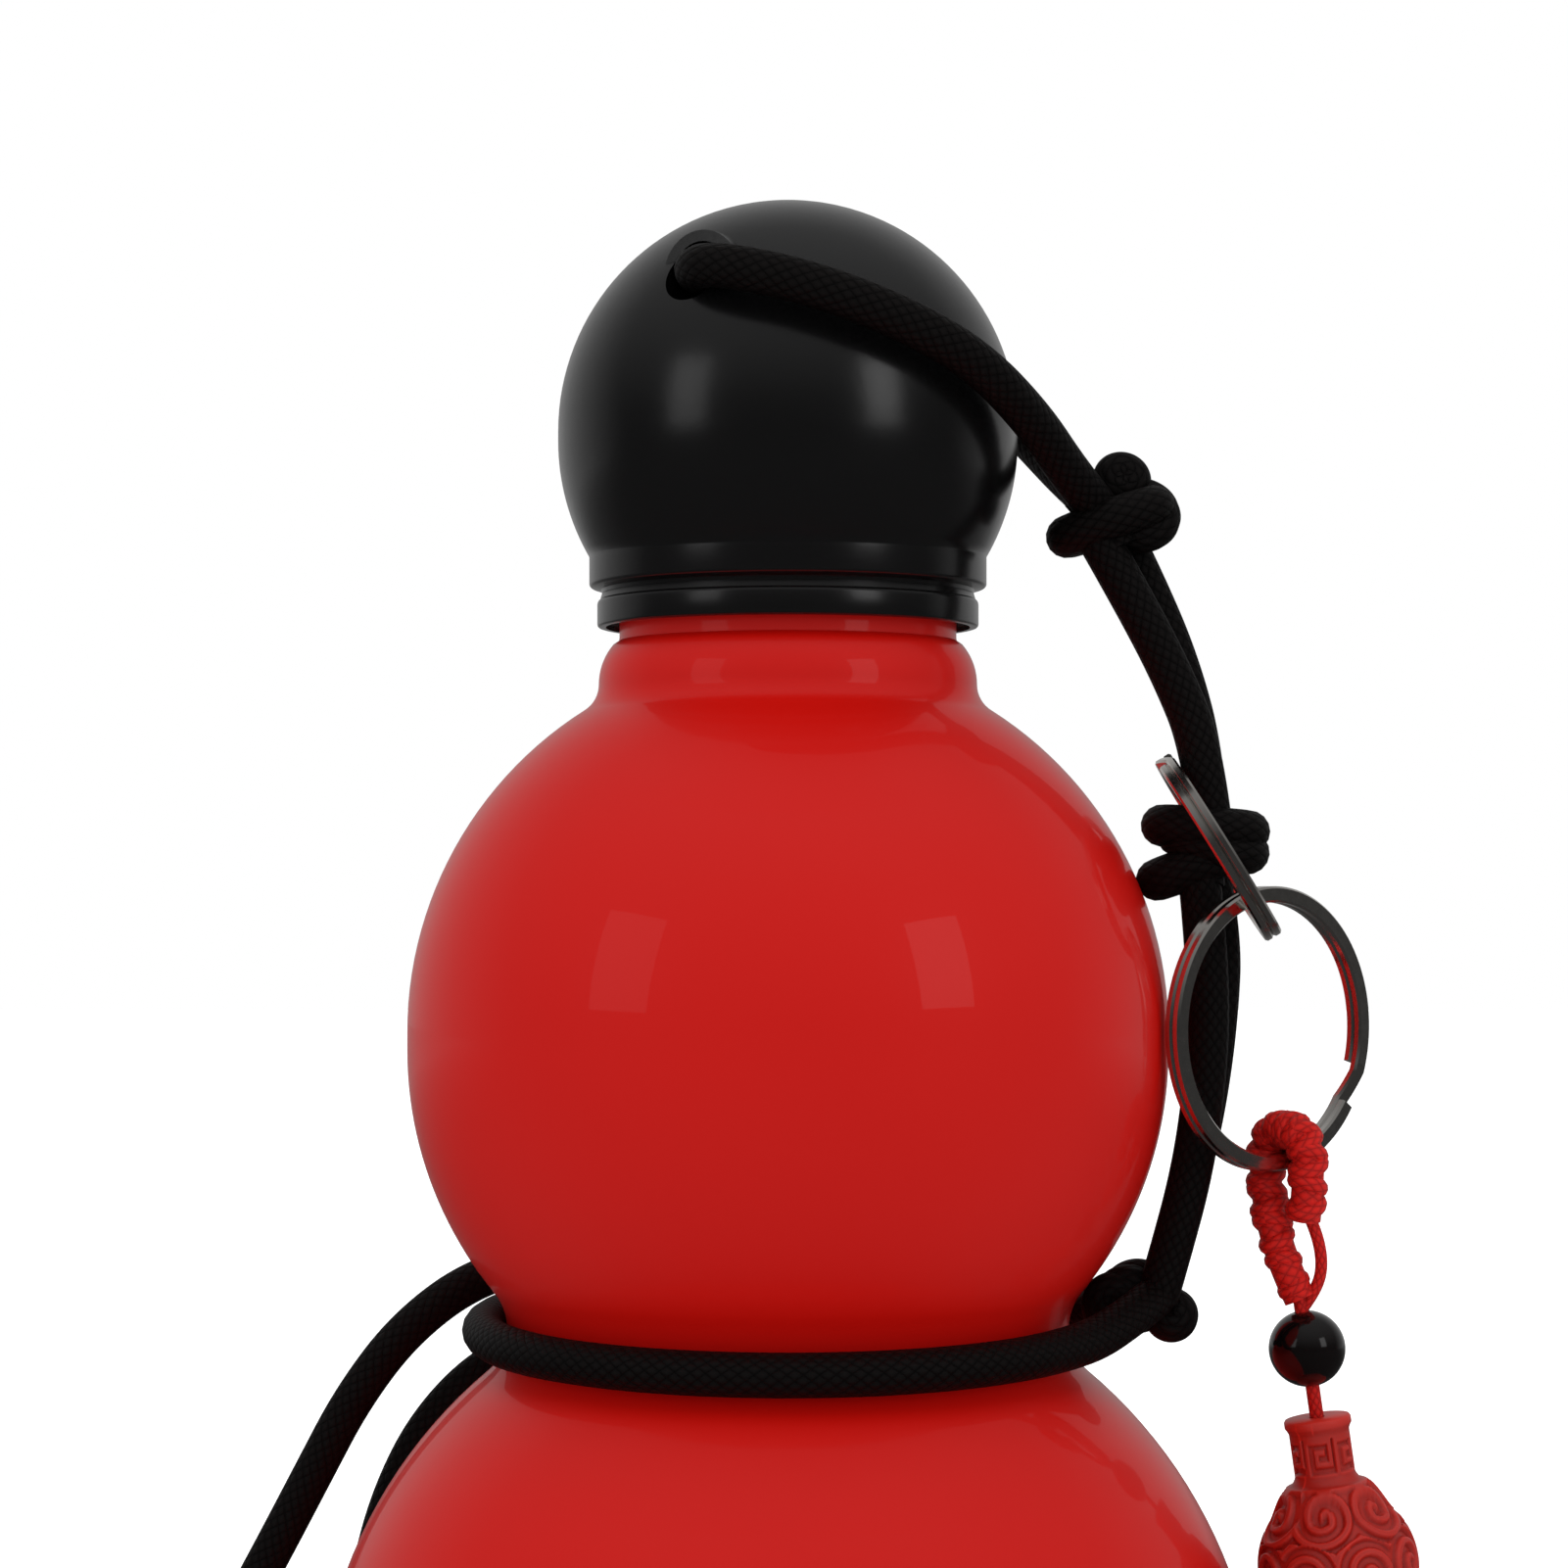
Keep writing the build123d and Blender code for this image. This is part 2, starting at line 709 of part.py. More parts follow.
def coil_tie():
    """Flat band round all turns of the coil at one place."""
    inner_radius = coil_outer_radius - coil_pitch * coil_turns / 2
    width = coil_outer_radius - inner_radius + cord_diameter + 2 * tie_gap
    height = coil_pitch + cord_diameter + 2 * tie_gap
    middle = (coil_outer_radius + inner_radius) / 2
    angle = math.radians(tie_angle_deg)
    place = (
        coil_x + middle * math.cos(angle),
        coil_y + middle * math.sin(angle),
        tie_thickness + height / 2,
    )
    along = Plane(
        origin=place,
        x_dir=(math.cos(angle), math.sin(angle), 0),
        z_dir=(math.sin(angle), -math.cos(angle), 0),
    )
    outside = RectangleRounded(width + 2 * tie_thickness, height + 2 * tie_thickness, tie_corner)
    inside = RectangleRounded(width, height, tie_corner - tie_thickness)
    return extrude(along * (outside - inside), tie_width / 2, both=True)


def split_ring(mean_radius, wire_width, height):
    """Ring of two flat turns pressed together, with a split in each turn."""
    outer_radius = mean_radius + wire_width / 2
    inner_radius = mean_radius - wire_width / 2
    ring = Cylinder(outer_radius, height) - Cylinder(inner_radius, height + overrun)
    ring = fillet(ring.edges().filter_by(GeomType.CIRCLE), ring_edge)
    outer_groove = Cylinder(outer_radius + overrun, ring_groove_height) - Cylinder(
        outer_radius - ring_groove_depth, height
    )
    inner_groove = Cylinder(inner_radius + ring_groove_depth, ring_groove_height)
    ring = ring - outer_groove - inner_groove
    for side, turn_deg in ((1, -28), (-1, 12)):
        split = Box(wire_width + overrun, ring_split_width, height / 2)
        split = Pos(mean_radius, 0, side * height / 4) * split
        ring = ring - Rot(0, 0, turn_deg) * split
    return ring


def rings():
    """The two linked split rings."""
    tilt = math.radians(upper_ring_tilt_deg)
    roll = math.radians(upper_ring_roll_deg)
    long_way = Vector(math.cos(tilt), 0, -math.sin(tilt))
    square = Vector(math.sin(tilt), 0, math.cos(tilt)) * math.cos(roll) - Vector(0, math.sin(roll), 0)
    upper_plane = Plane(origin=upper_ring_place, x_dir=long_way, z_dir=square)
    turn = math.radians(lower_ring_turn_deg)
    lower_plane = Plane(
        origin=lower_ring_place,
        x_dir=(math.cos(turn), math.sin(turn), 0),
        z_dir=(math.sin(turn), -math.cos(turn), 0),
    )
    upper = upper_plane * split_ring(upper_ring_radius, upper_wire_width, upper_ring_height)
    lower = lower_plane * split_ring(lower_ring_radius, lower_wire_width, lower_ring_height)
    return {"split_ring_upper": upper, "split_ring_lower": lower}


def hang_point():
    """Middle of the lower ring's wire where the pendant hangs, and the wire's direction."""
    turn = math.radians(lower_ring_turn_deg)
    hang = math.radians(hang_deg)
    across = Vector(math.cos(turn), math.sin(turn), 0)
    place = Vector(*lower_ring_place) + across * (lower_ring_radius * math.sin(hang))
    place = place - Vector(0, 0, lower_ring_radius * math.cos(hang))
    heading = across * math.cos(hang) + Vector(0, 0, math.sin(hang))
    return place, heading


def pendant_plane(along):
    """Plane on the pendant's cord, a distance below the black bead, with +Z up the cord."""
    lean = math.radians(pendant_lean_deg)
    up = Vector(-math.sin(lean), 0, math.cos(lean))
    return Plane(origin=Vector(*black_bead_place) - up * along, x_dir=(0, 1, 0), z_dir=up)


def pendant_braid():
    """Knotted sleeve that tapers downwards, with its loop round the lower ring's wire."""
    place, heading = hang_point()
    section = Ellipse(braid_loop_thickness / 2, braid_loop_width / 2)
    loop = revolve(Plane.XZ * Pos(braid_loop_radius, 0, 0) * section, Axis.Z)
    loop = Plane(origin=place, z_dir=heading) * loop
    top = Vector(*braid_top_place)
    bottom = pendant_plane(-braid_rise).origin
    axis = top - bottom
    cone = Cone(braid_bottom_radius, braid_top_radius, axis.length)
    sleeve = Plane(origin=(top + bottom) / 2, z_dir=axis) * cone
    crown = Pos(*braid_top_place) * Sphere(braid_top_radius)
    foot = Pos(*bottom) * Sphere(braid_bottom_radius)
    ring_room = Plane(origin=place, z_dir=heading) * Cylinder(
        braid_loop_radius - braid_loop_thickness / 2 + braid_loop_flat, 4 * braid_top_radius
    )
    return loop + sleeve + crown + foot - ring_room


def carved_bead():
    """Small vase with a flared lip, a straight neck, a collar and a round body, bored."""
    bore = thread_cord_diameter / 2 + bead_bore_gap
    shoulder = math.acos(bead_collar_radius / carved_bulb_radius)
    foot = -math.acos(carved_base_radius / carved_bulb_radius)
    foot_z = carved_bulb_radius * math.sin(foot) - carved_bulb_drop
    shoulder_z = carved_bulb_radius * math.sin(shoulder) - carved_bulb_drop
    top = [
        (bead_collar_radius, shoulder_z),
        (bead_collar_radius, -bead_neck_height - bead_collar_slope),
        (bead_neck_radius, -bead_neck_height),
        (bead_neck_radius, -2 * bead_lip_height),
        (lip_radius, -bead_lip_height),
        (lip_radius, 0),
        (bore, 0),
        (bore, foot_z),
        (carved_base_radius, foot_z),
    ]
    curves = [arc_between(0, -carved_bulb_drop, carved_bulb_radius, foot, shoulder)]
    curves.append(Polyline(*[(r, 0, z) for r, z in top]))
    return turned(curves), foot_z


def pendant_pieces():
    """Sleeve, strand, cord, beads and stop knot of the pendant."""
    bead = Sphere(bead_radius) - Cylinder(
        thread_cord_diameter / 2 + bead_bore_gap, 2 * (bead_radius + overrun)
    )
    vase, foot_z = carved_bead()
    lip_plane = pendant_plane(carved_lip_drop)
    knot_drop = carved_lip_drop - foot_z + stop_knot_radius
    cord_length = braid_rise + knot_drop + pendant_tail
    cord_middle = pendant_plane(cord_length / 2 - braid_rise)
    cord = cord_middle * Cylinder(thread_cord_diameter / 2, cord_length)
    return {
        "pendant_braid": pendant_braid(),
        "pendant_strand": tube("pendant_strand", strand_route, thread_cord_diameter),
        "pendant_cord": cord,
        "black_bead": pendant_plane(0) * bead,
        "carved_bead": lip_plane * vase,
        "stop_knot": pendant_plane(knot_drop) * Sphere(stop_knot_radius),
    }


cord_routes = {
    "cap_loop": cap_loop_route,
    "tether_upper_front": tether_upper_front_route,
    "tether_upper_back": tether_upper_back_route,
    "tether_lower_front": tether_lower_front_route,
    "tether_lower_back": tether_lower_back_route,
    "strap_front": strap_front_route,
    "strap_back": strap_back_route,
}

pieces = {"outer_shell": outer_shell(), "inner_liner": inner_liner()}
pieces.update(base_pieces())
pieces.update(cap_pieces())
for cord_name, route in cord_routes.items():
    pieces[cord_name] = tube(cord_name, route, cord_diameter)
pieces["cap_knot"] = cap_knot()
pieces["ring_knot"] = ring_knot()
pieces["waist_knot"] = waist_knot()
pieces["strap_knot"] = strap_knot()
pieces["waist_wrap"] = waist_wrap()
pieces["strap_coil"] = strap_coil()
pieces["coil_tie"] = coil_tie()
pieces.update(rings())
pieces.update(pendant_pieces())
for piece_name, piece in pieces.items():
    save(piece, piece_name)
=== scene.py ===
import json
import math

import bmesh
import bpy
from mathutils import Matrix, Vector


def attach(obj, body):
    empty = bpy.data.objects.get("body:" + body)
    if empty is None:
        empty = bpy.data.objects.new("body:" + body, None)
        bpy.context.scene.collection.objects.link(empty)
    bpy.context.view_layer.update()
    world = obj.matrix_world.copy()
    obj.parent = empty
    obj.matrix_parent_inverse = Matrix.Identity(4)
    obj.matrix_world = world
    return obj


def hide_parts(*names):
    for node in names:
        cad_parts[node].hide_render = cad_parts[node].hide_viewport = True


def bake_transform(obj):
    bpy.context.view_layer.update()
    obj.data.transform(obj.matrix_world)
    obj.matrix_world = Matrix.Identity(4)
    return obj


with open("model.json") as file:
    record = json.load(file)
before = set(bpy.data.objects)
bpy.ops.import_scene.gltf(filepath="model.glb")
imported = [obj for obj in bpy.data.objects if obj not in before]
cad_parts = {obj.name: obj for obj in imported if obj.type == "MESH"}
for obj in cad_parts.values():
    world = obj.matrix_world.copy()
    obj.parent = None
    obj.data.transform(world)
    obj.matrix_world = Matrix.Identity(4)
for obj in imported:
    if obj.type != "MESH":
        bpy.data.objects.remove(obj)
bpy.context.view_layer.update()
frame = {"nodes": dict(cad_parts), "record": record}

# The camera stands level, 400 mm in front of the bottle's axis and about 15 mm above the upper
# bulb's middle. Its frame is shifted up, so that the lower bulb runs out of the picture.
PHOTO_PIXELS = 1601
FOCAL_PIXELS = 3840
SENSOR = 36
camera = bpy.data.objects.new("camera", bpy.data.cameras.new("camera"))
bpy.context.collection.objects.link(camera)
bpy.context.scene.camera = camera
camera.location = (0, -0.4, 0.1328)
camera.rotation_euler = (math.radians(90), 0, 0)
camera.data.sensor_width = SENSOR
camera.data.lens = SENSOR * FOCAL_PIXELS / PHOTO_PIXELS
camera.data.shift_x = -4 / PHOTO_PIXELS
camera.data.shift_y = 114.5 / PHOTO_PIXELS


# The lacquered shell is spun steel, 0.6 mm thick, in the outline of a double gourd. A short
# neck stands on a small step, and its screw thread is rolled in above. Outlines and routes are
# in millimetres throughout, with the bottle's axis at x 0, y 0 and the floor at z 0.
LOWER_BULB = 50.0
UPPER_BULB = 40.3
WAIST = 29.8
WAIST_HOLLOW = 6.4
HOLLOW_MIDDLE = WAIST + WAIST_HOLLOW
FLAT_BASE = 25.5
FOOT_Z = 0.8
FOOT_FLANGE = 2.3
SHELL_WALL = 0.6
LOWER_BAND = 0.8
UPPER_BAND = 1.9
NECK_HOLLOW = 3.3
NECK_HOLLOW_MIDDLE = 23.4
STEP_ROUND = 6.5
NECK = 17.9
THREAD_ROOT = 16.65
THREAD_PITCH = 4.0
LOWER_Z = math.sqrt(LOWER_BULB**2 - FLAT_BASE**2)
WAIST_RISE = math.sqrt((LOWER_BULB + WAIST_HOLLOW) ** 2 - HOLLOW_MIDDLE**2)
UPPER_RISE = math.sqrt((UPPER_BULB + WAIST_HOLLOW) ** 2 - HOLLOW_MIDDLE**2)
NECK_RISE = math.sqrt((UPPER_BULB + NECK_HOLLOW) ** 2 - NECK_HOLLOW_MIDDLE**2)
WAIST_Z = LOWER_Z + LOWER_BAND + WAIST_RISE
UPPER_Z = WAIST_Z + UPPER_RISE
NECK_Z = UPPER_Z + UPPER_BAND + NECK_RISE


def arc(centre_r, centre_z, radius, start, end, count):
    """Points of an arc of an outline, as (radius, height)."""
    angles = [start + (end - start) * i / count for i in range(count + 1)]
    return [(centre_r + radius * math.cos(a), centre_z + radius * math.sin(a)) for a in angles]


def gourd_outline(inset, foot_z):
    """Side of the gourd from a height near its foot up to the neck's step."""
    lower = LOWER_BULB - inset
    upper = UPPER_BULB - inset
    to_waist = math.atan2(WAIST_RISE, HOLLOW_MIDDLE)
    from_waist = -math.atan2(UPPER_RISE, HOLLOW_MIDDLE)
    to_neck = math.atan2(NECK_RISE, NECK_HOLLOW_MIDDLE)
    hollow = WAIST_HOLLOW + inset
    side = arc(0, LOWER_Z, lower, math.asin((foot_z - LOWER_Z) / lower), 0, 26)
    side += arc(0, LOWER_Z + LOWER_BAND, lower, 0, to_waist, 22)
    side += arc(HOLLOW_MIDDLE, WAIST_Z, hollow, math.pi + to_waist, math.pi + from_waist, 14)[1:]
    side += arc(0, UPPER_Z, upper, from_waist, 0, 22)[1:]
    side += arc(0, UPPER_Z + UPPER_BAND, upper, 0, to_neck, 26)
    side += arc(NECK_HOLLOW_MIDDLE, NECK_Z, NECK_HOLLOW + inset, math.pi + to_neck, math.pi, 8)[1:]
    return side


def settle(name, shape, sharp=32):
    """Cleans a shape, turns its faces outwards, shades it smooth and keeps its sharp edges."""
    bmesh.ops.remove_doubles(shape, verts=shape.verts, dist=1e-6)
    bmesh.ops.dissolve_degenerate(shape, edges=shape.edges, dist=1e-7)
    bmesh.ops.recalc_face_normals(shape, faces=shape.faces)
    for face in shape.faces:
        face.smooth = True
    for edge in shape.edges:
        if len(edge.link_faces) == 2:
            edge.smooth = edge.calc_face_angle(0) < math.radians(sharp)
    mesh = bpy.data.meshes.new(name)
    shape.to_mesh(mesh)
    shape.free()
    return mesh


def turned(name, outline, steps, sharp=32):
    """Mesh spun about the bottle's axis from a closed outline."""
    shape = bmesh.new()
    rim = [shape.verts.new((r / 1000, 0, z / 1000)) for r, z in outline]
    edges = [shape.edges.new(pair) for pair in zip(rim, rim[1:] + rim[:1])]
    bmesh.ops.spin(
        shape,
        geom=rim + edges,
        cent=(0, 0, 0),
        axis=(0, 0, 1),
        angle=math.tau,
        steps=steps,
        use_merge=True,
    )
    return settle(name, shape, sharp)


def piece(name, meshes, material, body, nodes=()):
    """One object from one or more meshes, with its material, riding on a body if it has one."""
    joined = bmesh.new()
    for mesh in meshes:
        joined.from_mesh(mesh)
    data = bpy.data.meshes.new(name)
    joined.to_mesh(data)
    joined.free()
    obj = bpy.data.objects.new(name, data)
    bpy.context.collection.objects.link(obj)
    obj.data.materials.append(material)
    if body:
        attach(obj, body)
    if nodes:
        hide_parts(*nodes)
    return obj


def finish(name, colour, roughness, metallic=0.0, coat=0.0, coat_roughness=0.05, sheen=0.0, specular=0.5):
    """A new material with its node tree and its surface shader, which the finish leads to."""
    material = bpy.data.materials.new(name)
    material.use_nodes = True
    tree = material.node_tree
    shader = tree.nodes["Principled BSDF"]
    shader.inputs["Base Color"].default_value = (*colour, 1)
    shader.inputs["Roughness"].default_value = roughness
    shader.inputs["Metallic"].default_value = metallic
    shader.inputs["Coat Weight"].default_value = coat
    shader.inputs["Coat Roughness"].default_value = coat_roughness
    shader.inputs["Sheen Weight"].default_value = sheen
    shader.inputs["Specular IOR Level"].default_value = specular
    return material, tree, shader


def figure(tree, operation, first, second=None, third=None):
    """Math node of a finish; each value is a number or another node's output."""
    node = tree.nodes.new("ShaderNodeMath")
    node.operation = operation
    for socket, value in zip(node.inputs, (first, second, third)):
        if isinstance(value, (int, float)):
            socket.default_value = value
        elif value is not None:
            tree.links.new(value, socket)
    return node.outputs[0]


def coordinates(tree, kind="Object"):
    """The piece's own coordinates, or its UV, or a direction of the world."""
    return tree.nodes.new("ShaderNodeTexCoord").outputs[kind]


def effect(name, inputs, output):
    """A node group for an effect that several materials share: group, its inputs, its outputs."""
    group = bpy.data.node_groups.new(name, "ShaderNodeTree")
    for label, kind, value in inputs:
        socket = group.interface.new_socket(label, in_out="INPUT", socket_type=kind)
        socket.default_value = value
    group.interface.new_socket(output, in_out="OUTPUT", socket_type="NodeSocketFloat")
    given = group.nodes.new("NodeGroupInput").outputs
    wanted = group.nodes.new("NodeGroupOutput").inputs
    return group, given, wanted


def placed(tree, group, **values):
    """An effect in a material, with the material's own values."""
    node = tree.nodes.new("ShaderNodeGroup")
    node.node_tree = group
    for label, value in values.items():
        node.inputs[label].default_value = value
    return node.outputs[0]


# Fine noise on the piece's own coordinates, which Stretch draws together along an axis
grain, given, wanted = effect(
    "grain",
    [
        ("Scale", "NodeSocketFloat", 100.0),
        ("Detail", "NodeSocketFloat", 4.0),
        ("Roughness", "NodeSocketFloat", 0.6),
        ("Stretch", "NodeSocketVector", (1, 1, 1)),
    ],
    "Grain",
)
stretched = grain.nodes.new("ShaderNodeVectorMath")
stretched.operation = "MULTIPLY"
grain.links.new(coordinates(grain), stretched.inputs[0])
grain.links.new(given["Stretch"], stretched.inputs[1])
noise = grain.nodes.new("ShaderNodeTexNoise")
grain.links.new(stretched.outputs[0], noise.inputs["Vector"])
for label in ("Scale", "Detail", "Roughness"):
    grain.links.new(given[label], noise.inputs[label])
grain.links.new(noise.outputs[0], wanted["Grain"])


def relief(tree, shader, height, depth, strength=1.0):
    """Bump of the surface by a height between 0 and 1, that many metres deep."""
    bump = tree.nodes.new("ShaderNodeBump")
    bump.inputs["Strength"].default_value = strength
    bump.inputs["Distance"].default_value = depth
    tree.links.new(height, bump.inputs["Height"])
    tree.links.new(bump.outputs["Normal"], shader.inputs["Normal"])


def tint(tree, shader, value, dark, light):
    """Colour of the surface, between two others by a value from 0 to 1."""
    ramp = tree.nodes.new("ShaderNodeValToRGB")
    ramp.color_ramp.elements[0].color = (*dark, 1)
    ramp.color_ramp.elements[1].color = (*light, 1)
    tree.links.new(value, ramp.inputs[0])
    tree.links.new(ramp.outputs[0], shader.inputs["Base Color"])


red_lacquer, tree, shader = finish(
    "red_lacquer",
    (0.51, 0.0035, 0.001),
    roughness=0.4,
    coat=0.35,
    coat_roughness=0.03,
    specular=0.15,
)
cloud = placed(tree, grain, Scale=26, Detail=2, Roughness=0.5)
tint(tree, shader, cloud, dark=(0.5, 0.0025, 0.0008), light=(0.53, 0.0042, 0.0016))
ripple = placed(tree, grain, Scale=160, Detail=2, Roughness=0.5)
relief(tree, shader, ripple, depth=0.00001, strength=0.25)

# Neck above the gourd's outline: a rounded step, the short neck, a shoulder and the thread's
# root, up to the mouth and down again inside
step_z = NECK_Z + 1.6
neck_foot = step_z + 2.7
shoulder_z = neck_foot + 3.0
thread_foot = neck_foot + 4.1
mouth_z = neck_foot + 14.8
step_middle = NECK_HOLLOW_MIDDLE - NECK_HOLLOW - STEP_ROUND
shell_outline = gourd_outline(0, FOOT_Z)
shell_outline += arc(step_middle, NECK_Z, STEP_ROUND, 0, math.radians(40), 9)[1:]
shell_outline += [
    (NECK + 0.05, neck_foot + 0.3),
    (NECK, neck_foot + 0.7),
    (NECK, shoulder_z),
    (THREAD_ROOT, thread_foot),
    (THREAD_ROOT, mouth_z),
    (THREAD_ROOT - SHELL_WALL, mouth_z),
    (THREAD_ROOT - SHELL_WALL, thread_foot),
    (NECK - SHELL_WALL, shoulder_z),
    (NECK - SHELL_WALL, neck_foot),
    (19.4, step_z),
]

# Inside of the gourd, down to the flange that the base plate closes
flange_z = FOOT_Z + SHELL_WALL
foot_edge = math.sqrt(LOWER_BULB**2 - (LOWER_Z - FOOT_Z) ** 2)
shell_outline += reversed(gourd_outline(SHELL_WALL, flange_z))
shell_outline += [
    (foot_edge - FOOT_FLANGE, flange_z),
    (foot_edge - FOOT_FLANGE, FOOT_Z),
    (foot_edge - 0.2, FOOT_Z),
]


def screw_ridge(root, crest, start_z, turns, steps_a_turn=72):
    """Ridge of the screw thread: a low profile spun with the thread's rise."""
    shape = bmesh.new()
    spots = [(root, -0.9), (crest, -0.4), (crest, 0.4), (root, 0.9)]
    verts = [shape.verts.new((r / 1000, 0, (start_z + z) / 1000)) for r, z in spots]
    face = shape.faces.new(verts)
    bmesh.ops.spin(
        shape,
        geom=[face, *face.edges, *verts],
        cent=(0, 0, 0),
        axis=(0, 0, 1),
        dvec=(0, 0, THREAD_PITCH / 1000 / steps_a_turn),
        angle=math.tau * turns,
        steps=steps_a_turn * turns,
    )
    return settle("screw_ridge", shape)


shell = turned("shell", shell_outline, steps=160)
thread = screw_ridge(THREAD_ROOT - 0.1, THREAD_ROOT + 1.1, neck_foot + 5.45, turns=2)
piece("lacquered_shell", [shell, thread], red_lacquer, "bottle", ("outer_shell",))


# The liner is brushed steel and shows at the mouth when the cap is off. The base is closed by a
# steel plate with its seal, and a black rubber pad is pressed over it for the bottle to stand on.
def reworked(node, material):
    """A CAD piece whose shape is right, merged and shaded smooth, in a better finish."""
    shape = bmesh.new()
    shape.from_mesh(frame["nodes"][node].data)
    bodies = frame["record"]["behaviour"]["bodies"]
    body = next(name for name, nodes in bodies.items() if node in nodes)
    return piece(node + "_finished", [settle(node, shape, 30)], material, body, (node,))


def vary_roughness(tree, shader, value, spread, least):
    """Roughness that a value from 0 to 1 raises from the least one."""
    tree.links.new(figure(tree, "MULTIPLY_ADD", value, spread, least), shader.inputs["Roughness"])


brushed_steel, tree, shader = finish("brushed_steel", (0.56, 0.55, 0.53), roughness=0.32, metallic=1.0)
brushing = placed(tree, grain, Scale=60, Detail=5, Roughness=0.65, Stretch=(1, 1, 40))
vary_roughness(tree, shader, brushing, spread=0.2, least=0.22)
relief(tree, shader, brushing, depth=0.00002, strength=0.5)
for node in ("inner_liner", "base_plate", "getter"):
    reworked(node, brushed_steel)

black_rubber, tree, shader = finish("black_rubber", (0.022, 0.022, 0.023), roughness=0.72)
relief(tree, shader, placed(tree, grain, Scale=1400, Detail=3), depth=0.00005, strength=0.6)
reworked("base_pad", black_rubber)
reworked("vacuum_seal", black_rubber)


# The cap is a hollow black ball on a stepped collar, moulded with a fine satin grain. A tunnel
# for the cord crosses it near the top, in a sleeve moulded with it. A threaded cup, foam and a
# gasket are inside.
BALL = 24.4
BALL_HOLLOW = 22.2
BALL_Z = 181.05
BALL_BAND = 1.0
COLLAR_FOOT_Z = 161.3
COLLAR_TOP = 21.1
CUP_ROOM = 19.35
TUNNEL_BORE = 3.25
TUNNEL_SLEEVE = 4.4
TUNNEL_MIDDLE = (0, 0, 196.45)
TUNNEL_TURN = math.radians(61)


def cap_outline():
    """Outside of the collar and the ball, then the hollow inside."""
    collar = [(CUP_ROOM, COLLAR_FOOT_Z), (19.95, COLLAR_FOOT_Z)]
    collar += arc(19.95, 161.6, 0.3, -math.pi / 2, 0, 3)
    collar += arc(19.65, 163.7, 0.6, 0, math.pi / 3, 3)
    collar += [(19.75, 164.9), (19.85, 165.25)]
    collar += arc(20.7, 165.9, 0.4, -math.pi / 2, 0, 4)
    collar += [(COLLAR_TOP, 168.5)]
    junction = -math.acos(COLLAR_TOP / BALL)
    low = -math.acos(CUP_ROOM / BALL_HOLLOW)
    upper_z = BALL_Z + BALL_BAND
    ball = arc(0, BALL_Z, BALL, junction, 0, 16) + arc(0, upper_z, BALL, 0, math.pi / 2, 34)
    hollow = arc(0, upper_z, BALL_HOLLOW, math.pi / 2, 0, 20) + arc(0, BALL_Z, BALL_HOLLOW, 0, low, 10)
    return collar + ball + hollow


def rod(radius, length, place, direction):
    """Round rod about a place in a direction."""
    shape = bmesh.new()
    bmesh.ops.create_cone(
        shape,
        cap_ends=True,
        segments=40,
        radius1=radius / 1000,
        radius2=radius / 1000,
        depth=length / 1000,
    )
    turn = Vector((0, 0, 1)).rotation_difference(Vector(direction)).to_matrix().to_4x4()
    move = Matrix.Translation(Vector(place) / 1000)
    bmesh.ops.transform(shape, matrix=move @ turn, verts=shape.verts)
    return settle("rod", shape, 40)


def bored(mesh, cutter):
    """The mesh less its cutter."""
    solid = bpy.data.objects.new("solid", mesh)
    tool = bpy.data.objects.new("cutter", cutter)
    for obj in (solid, tool):
        bpy.context.collection.objects.link(obj)
    cut = solid.modifiers.new("cut", "BOOLEAN")
    cut.operation = "DIFFERENCE"
    cut.object = tool
    bpy.context.view_layer.update()
    graph = bpy.context.evaluated_depsgraph_get()
    shape = bmesh.new()
    shape.from_mesh(bpy.data.meshes.new_from_object(solid.evaluated_get(graph)))
    for obj in (solid, tool):
        bpy.data.objects.remove(obj)
    return settle("bored", shape, 30)


across = (math.cos(TUNNEL_TURN), math.sin(TUNNEL_TURN), 0)
drill = rod(TUNNEL_BORE, 60, TUNNEL_MIDDLE, across)
ball = bored(turned("ball", cap_outline(), steps=144), drill)
sleeve = bored(rod(TUNNEL_SLEEVE, 36.6, TUNNEL_MIDDLE, across), drill)
cap_black, tree, shader = finish("cap_black", (0.0032, 0.0032, 0.0034), roughness=0.24, specular=1.0)
vary_roughness(tree, shader, placed(tree, grain, Scale=40), spread=0.06, least=0.2)
moulded = placed(tree, grain, Scale=700, Detail=3, Roughness=0.55)
relief(tree, shader, moulded, depth=0.00003, strength=0.35)
piece("cap_shell", [ball, sleeve], cap_black, "cap", ("cap_ball",))
reworked("cap_insert", cap_black)

white_foam, tree, shader = finish("white_foam", (0.8, 0.79, 0.75), roughness=0.85)
cells = tree.nodes.new("ShaderNodeTexVoronoi")
cells.inputs["Scale"].default_value = 900
tree.links.new(coordinates(tree), cells.inputs["Vector"])
relief(tree, shader, cells.outputs["Distance"], depth=0.0002)
reworked("cap_foam", white_foam)

clear_silicone, tree, shader = finish("clear_silicone", (0.75, 0.75, 0.72), roughness=0.4)
shader.inputs["Subsurface Weight"].default_value = 0.2
shader.inputs["Subsurface Radius"].default_value = (0.002, 0.002, 0.002)
relief(tree, shader, placed(tree, grain, Scale=500), depth=0.00003, strength=0.4)
reworked("cap_gasket", clear_silicone)


# The black cord is a round braid of glossy synthetic yarn, 4.5 mm thick. It comes out of the
# cap's tunnel on both sides, is knotted, and hangs as two strands to the waist. The waist's turn
# and the carrying strap are the same cord; the strap's unseen length lies coiled on the floor.
CORD = 0.0045


